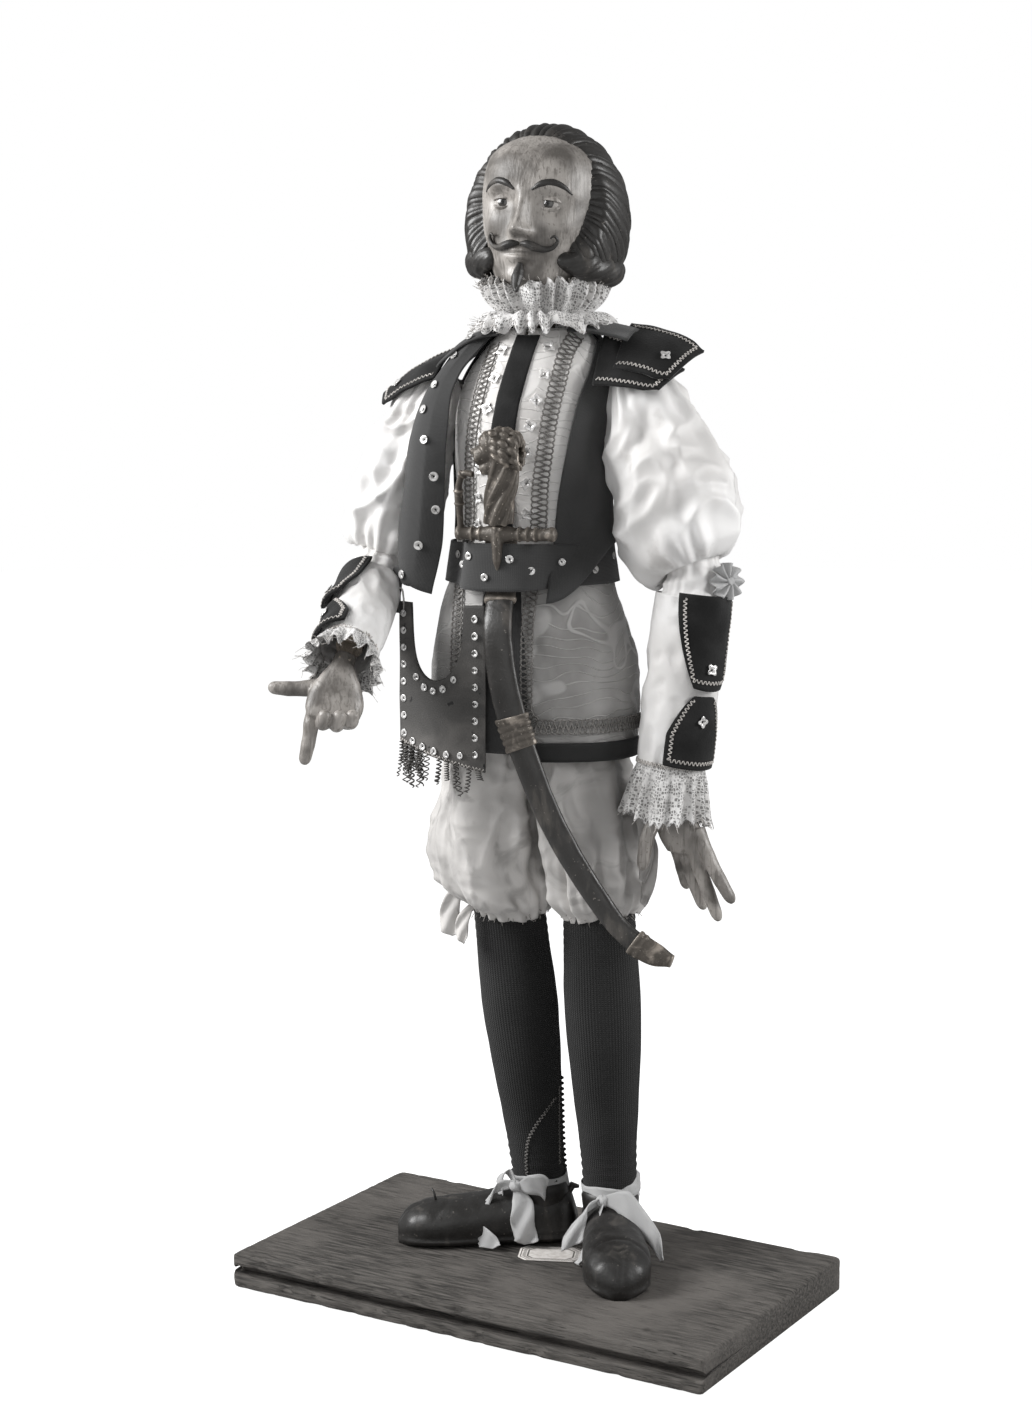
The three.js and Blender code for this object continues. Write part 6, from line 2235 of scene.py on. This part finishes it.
def lion_hilt():
    """A grip of twisted locks that rise into the mane of a small lion's head looking to the right hand."""
    spine = curve([HILT, (-8, -55, 492), (-5, -57, 508), (-5, -59, 522), (-8, -60, 531)], 50)
    t = np.linspace(0, 1, 50)
    shape = tube(spine, 7.2 + 0.8 * np.sin(t * 3) + 1.6 * step(t, 0.5, 0.9), 24)
    side, up = frames_along(spine)
    for k in range(7):
        a = k / 7 * TAU + t * 2.4
        lock = spine + spoke(side, up, a, 7.0 + 1.6 * t)
        shape.join(tube(lock, 2.3 - 0.7 * t, 8))
    for places, radii, sides in LION_HEAD.values():
        shape.join(tube(places, radii, sides))
    for side in (-1, 1):
        for (x, y, z), steps, radii, sides in LION_PAIRS.values():
            root = np.array([x, y[0] + side * y[1], z])
            shape.join(tube([root + np.array([1, side, 1]) * way for way in steps], radii, sides))
    for row, (x, reach, count) in enumerate(MANE_ROWS):
        for k in range(count):
            a = (k + 0.5 * row) / count * TAU
            way = np.array([0.0, math.cos(a), math.sin(a)])
            root = np.array([x, -60.0, 525.5 - row]) + way * (reach - 2.4)
            path = [
                root, root + way * 2.2 + [2.2, 0, 0.5], root + way * 1.8 + [5.2, 0, -2.2],
                root + way * 0.2 + [5.6, 0, -5.5]
            ]
            shape.join(
                tube(curve(path, 14), np.interp(np.linspace(0, 1, 14), [0, 0.5, 1], [1.8, 2.5, 0.9]), 8)
            )
    piece("lion_hilt", shape, BRONZE, "sabre", ["sabre_grip"], carve=0.55)
    bow = curve(
        [(-22, -61, 509), (-28, -60, 509.5), (-31.5, -58, 504), (-32.2, -56, 492), (-32, -54, 477)], 50
    )
    t = np.linspace(0, 1, 50)
    strap = tube(bow, 2.3 + 0.8 * bell(t, 0.55, 0.12), 14, 0.8)
    for share in (0.2, 0.45, 0.65):
        k = int(share * 49)
        strap.join(tube(bow[k - 1 : k + 2], [2.7, 3.5, 2.7], 14))
    piece("knuckle_guard", strap, BRONZE, "sabre", ["sabre_knuckle_bow"], carve=0.5)


PANEL = {"left": (-77, -34), "right": (-18, -51), "top": 431, "scoop": 46, "low": (346, 331), "bow": 7}


def panel_at(u, v, grow=0.0):
    """A place on the hip panel: u from its left upright to its right one, v from top to bottom."""
    share = np.clip((u - 0.18) / 0.62, 0, 1)
    top = PANEL["top"] - PANEL["scoop"] * np.sin(math.pi * share) ** 0.24
    low = PANEL["low"][0] * (1 - u) + PANEL["low"][1] * u
    left, right = np.array(PANEL["left"]), np.array(PANEL["right"])
    x = left[0] + (right[0] - left[0]) * u
    y = left[1] + (right[1] - left[1]) * u
    z = top * (1 - v) + low * v
    bow = PANEL["bow"] * np.sin(math.pi * u) + grow
    warp = 0.5 * rough(stack(x, y, z), 22, 5)
    return stack(x - 0.36 * (bow + warp), y - 0.93 * (bow + warp), z)


def hip_panel():
    """The studded leather panel at the hip with its fringe and hook."""
    piece(
        "studded_panel", sheet(panel_at, 110, 70, 2.6), LEATHER, "hip_panel",
        ["hip_panel"]
    )
    out = np.array([-0.36, -0.93, 0])
    spots = [(0.075, v) for v in np.linspace(0.08, 0.80, 7)]
    spots += [(u, 0.93 - 0.03 * u) for u in np.linspace(0.075, 0.925, 7)]
    spots += [(0.925, v) for v in np.linspace(0.08, 0.80, 8)]
    spots += [(u, 0.13) for u in np.linspace(0.27, 0.72, 5)]
    places = [(place, out) for place in panel_at(*np.array(spots).T, 1.4)]
    sequins("panel_studs", "hip_panel", places, 2.2)
    lace = panel_at(np.linspace(0.0, 1.0, 40), 1.0, 1.2) + [0, 0, 1.2]
    piece(
        "panel_hem_cord", zigzag(lace, np.tile(out, (len(lace), 1)), 1.8, 2.2, 0.34), TRIM, "hip_panel",
    )
    threads = Shape()
    for k in range(28):
        u = draw.uniform(0.0, 0.36) if k < 20 else draw.uniform(0.4, 1.0)
        root = panel_at(np.array(u), np.array(1.0), 1.0) + [0, 0, 1.5]
        long = draw.uniform(12, 27) if k < 20 else draw.uniform(6, 22)
        t = np.linspace(0, 1, 90)
        turns, coil = draw.uniform(5, 9), draw.uniform(0.8, 1.7)
        lean = draw.uniform(-4, 4)
        path = root + stack(
            lean * t**2 + coil * np.sin(turns * TAU * t), coil * np.cos(turns * TAU * t) - coil, -long * t
        )
        threads.join(tube(path, 0.38, 5))
    piece("metal_fringe", threads, FRINGE, "hip_panel")
    top = panel_at(np.array(0.07), np.array(0.0), 1.4)
    hook = curve(
        [
            top + [0, 0, -5], top + [0, -0.4, 3], top + [-1.5, 0, 8], top + [-4, 0.5, 8.5],
            top + [-4.4, 0.6, 5]
        ], 24
    )
    piece("panel_hook", tube(hook, 0.55, 8), STEEL, "hip_panel")


def sabre_and_panel():
    """The sabre and the hip panel."""
    scabbard()
    crossguard()
    lion_hilt()
    hip_panel()


# ---- Frame nodes that stay, light and camera -------------------------------------------------------------


def finish_frame_nodes():
    """Inner wood and metal from the frame keep their shape and get real materials."""
    for name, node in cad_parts.items():
        metal_part = any(word in name for word in ("pin", "screw", "link"))
        node.data.materials.clear()
        node.data.materials.append(STEEL if metal_part else LIMEWOOD)


# Lamps: place and size in metres, power in watts. WORLD is the strength of the white surround as light.
LAMPS = {
    "key": ((-0.95, -0.75, 1.05), 28, 0.7),
    "side": ((1.25, 0.35, 0.85), 14, 0.6),
    "front": ((0.5, -1.5, 0.7), 4, 1.2),
}
AIM = (0, 0, 0.38)
WORLD = 0.25
FLOOR = {"radius": 6, "corners": 48, "under": -0.0006, "glow": 0.90}
CAMERA = {"place": (0.75907, -1.28243, 0.56474), "down": 7.7, "round": 31.1, "lens": 62.54, "sensor": 36}


def lamp(name, place, power, size):
    """A square lamp turned towards the middle of the figure."""
    data = bpy.data.lights.new(name, "AREA")
    data.energy, data.size = power, size
    obj = bpy.data.objects.new(name, data)
    obj.location = place
    obj.rotation_euler = (Vector(AIM) - Vector(place)).to_track_quat("-Z", "Y").to_euler()
    bpy.context.scene.collection.objects.link(obj)


def studio():
    """A pale floor, a white surround, and a soft lamp on each side, the stronger on the viewer's left."""
    for name, values in LAMPS.items():
        lamp(name, *values)
    world = bpy.data.worlds.new("white")
    world.use_nodes = True
    tree = world.node_tree
    seen_ray = tree.nodes.new("ShaderNodeLightPath").outputs["Is Camera Ray"]
    strength = tree.nodes.new("ShaderNodeMapRange")
    strength.inputs["To Min"].default_value = WORLD
    tree.links.new(seen_ray, strength.inputs["Value"])
    tree.links.new(strength.outputs["Result"], tree.nodes["Background"].inputs["Strength"])
    tree.nodes["Background"].inputs["Color"].default_value = (1, 1, 1, 1)
    bpy.context.scene.world = world
    look = Look("pale floor", Roughness=0.9)
    material = look.finish(look.blend(look.noise(3), grey(0.42), grey(0.46)))
    glow = look.node("ShaderNodeLightPath").outputs["Is Camera Ray"]
    look.give(look.shader.inputs["Emission Color"], (1, 1, 1, 1))
    look.give(look.shader.inputs["Emission Strength"], look.math("MULTIPLY", glow, FLOOR["glow"]))
    mesh = bpy.data.meshes.new("floor")
    count = FLOOR["corners"]
    ring = circle(np.arange(count) / count * TAU, FLOOR["radius"], FLOOR["under"])
    mesh.from_pydata([tuple(p) for p in ring], [], [list(range(count))])
    mesh.materials.append(material)
    floor = bpy.data.objects.new("floor", mesh)
    bpy.context.scene.collection.objects.link(floor)
    bpy.context.scene.view_settings.view_transform = "Standard"


def camera():
    """The camera of the photo's view."""
    data = bpy.data.cameras.new("camera")
    data.sensor_width, data.lens = CAMERA["sensor"], CAMERA["lens"]
    obj = bpy.data.objects.new("camera", data)
    obj.location = CAMERA["place"]
    obj.rotation_euler = (math.radians(90 - CAMERA["down"]), 0, math.radians(CAMERA["round"]))
    bpy.context.scene.collection.objects.link(obj)
    bpy.context.scene.camera = obj


camera()
studio()
finish_frame_nodes()
stand_and_legs()
trunk()
arms()
head_and_collar()
sabre_and_panel()
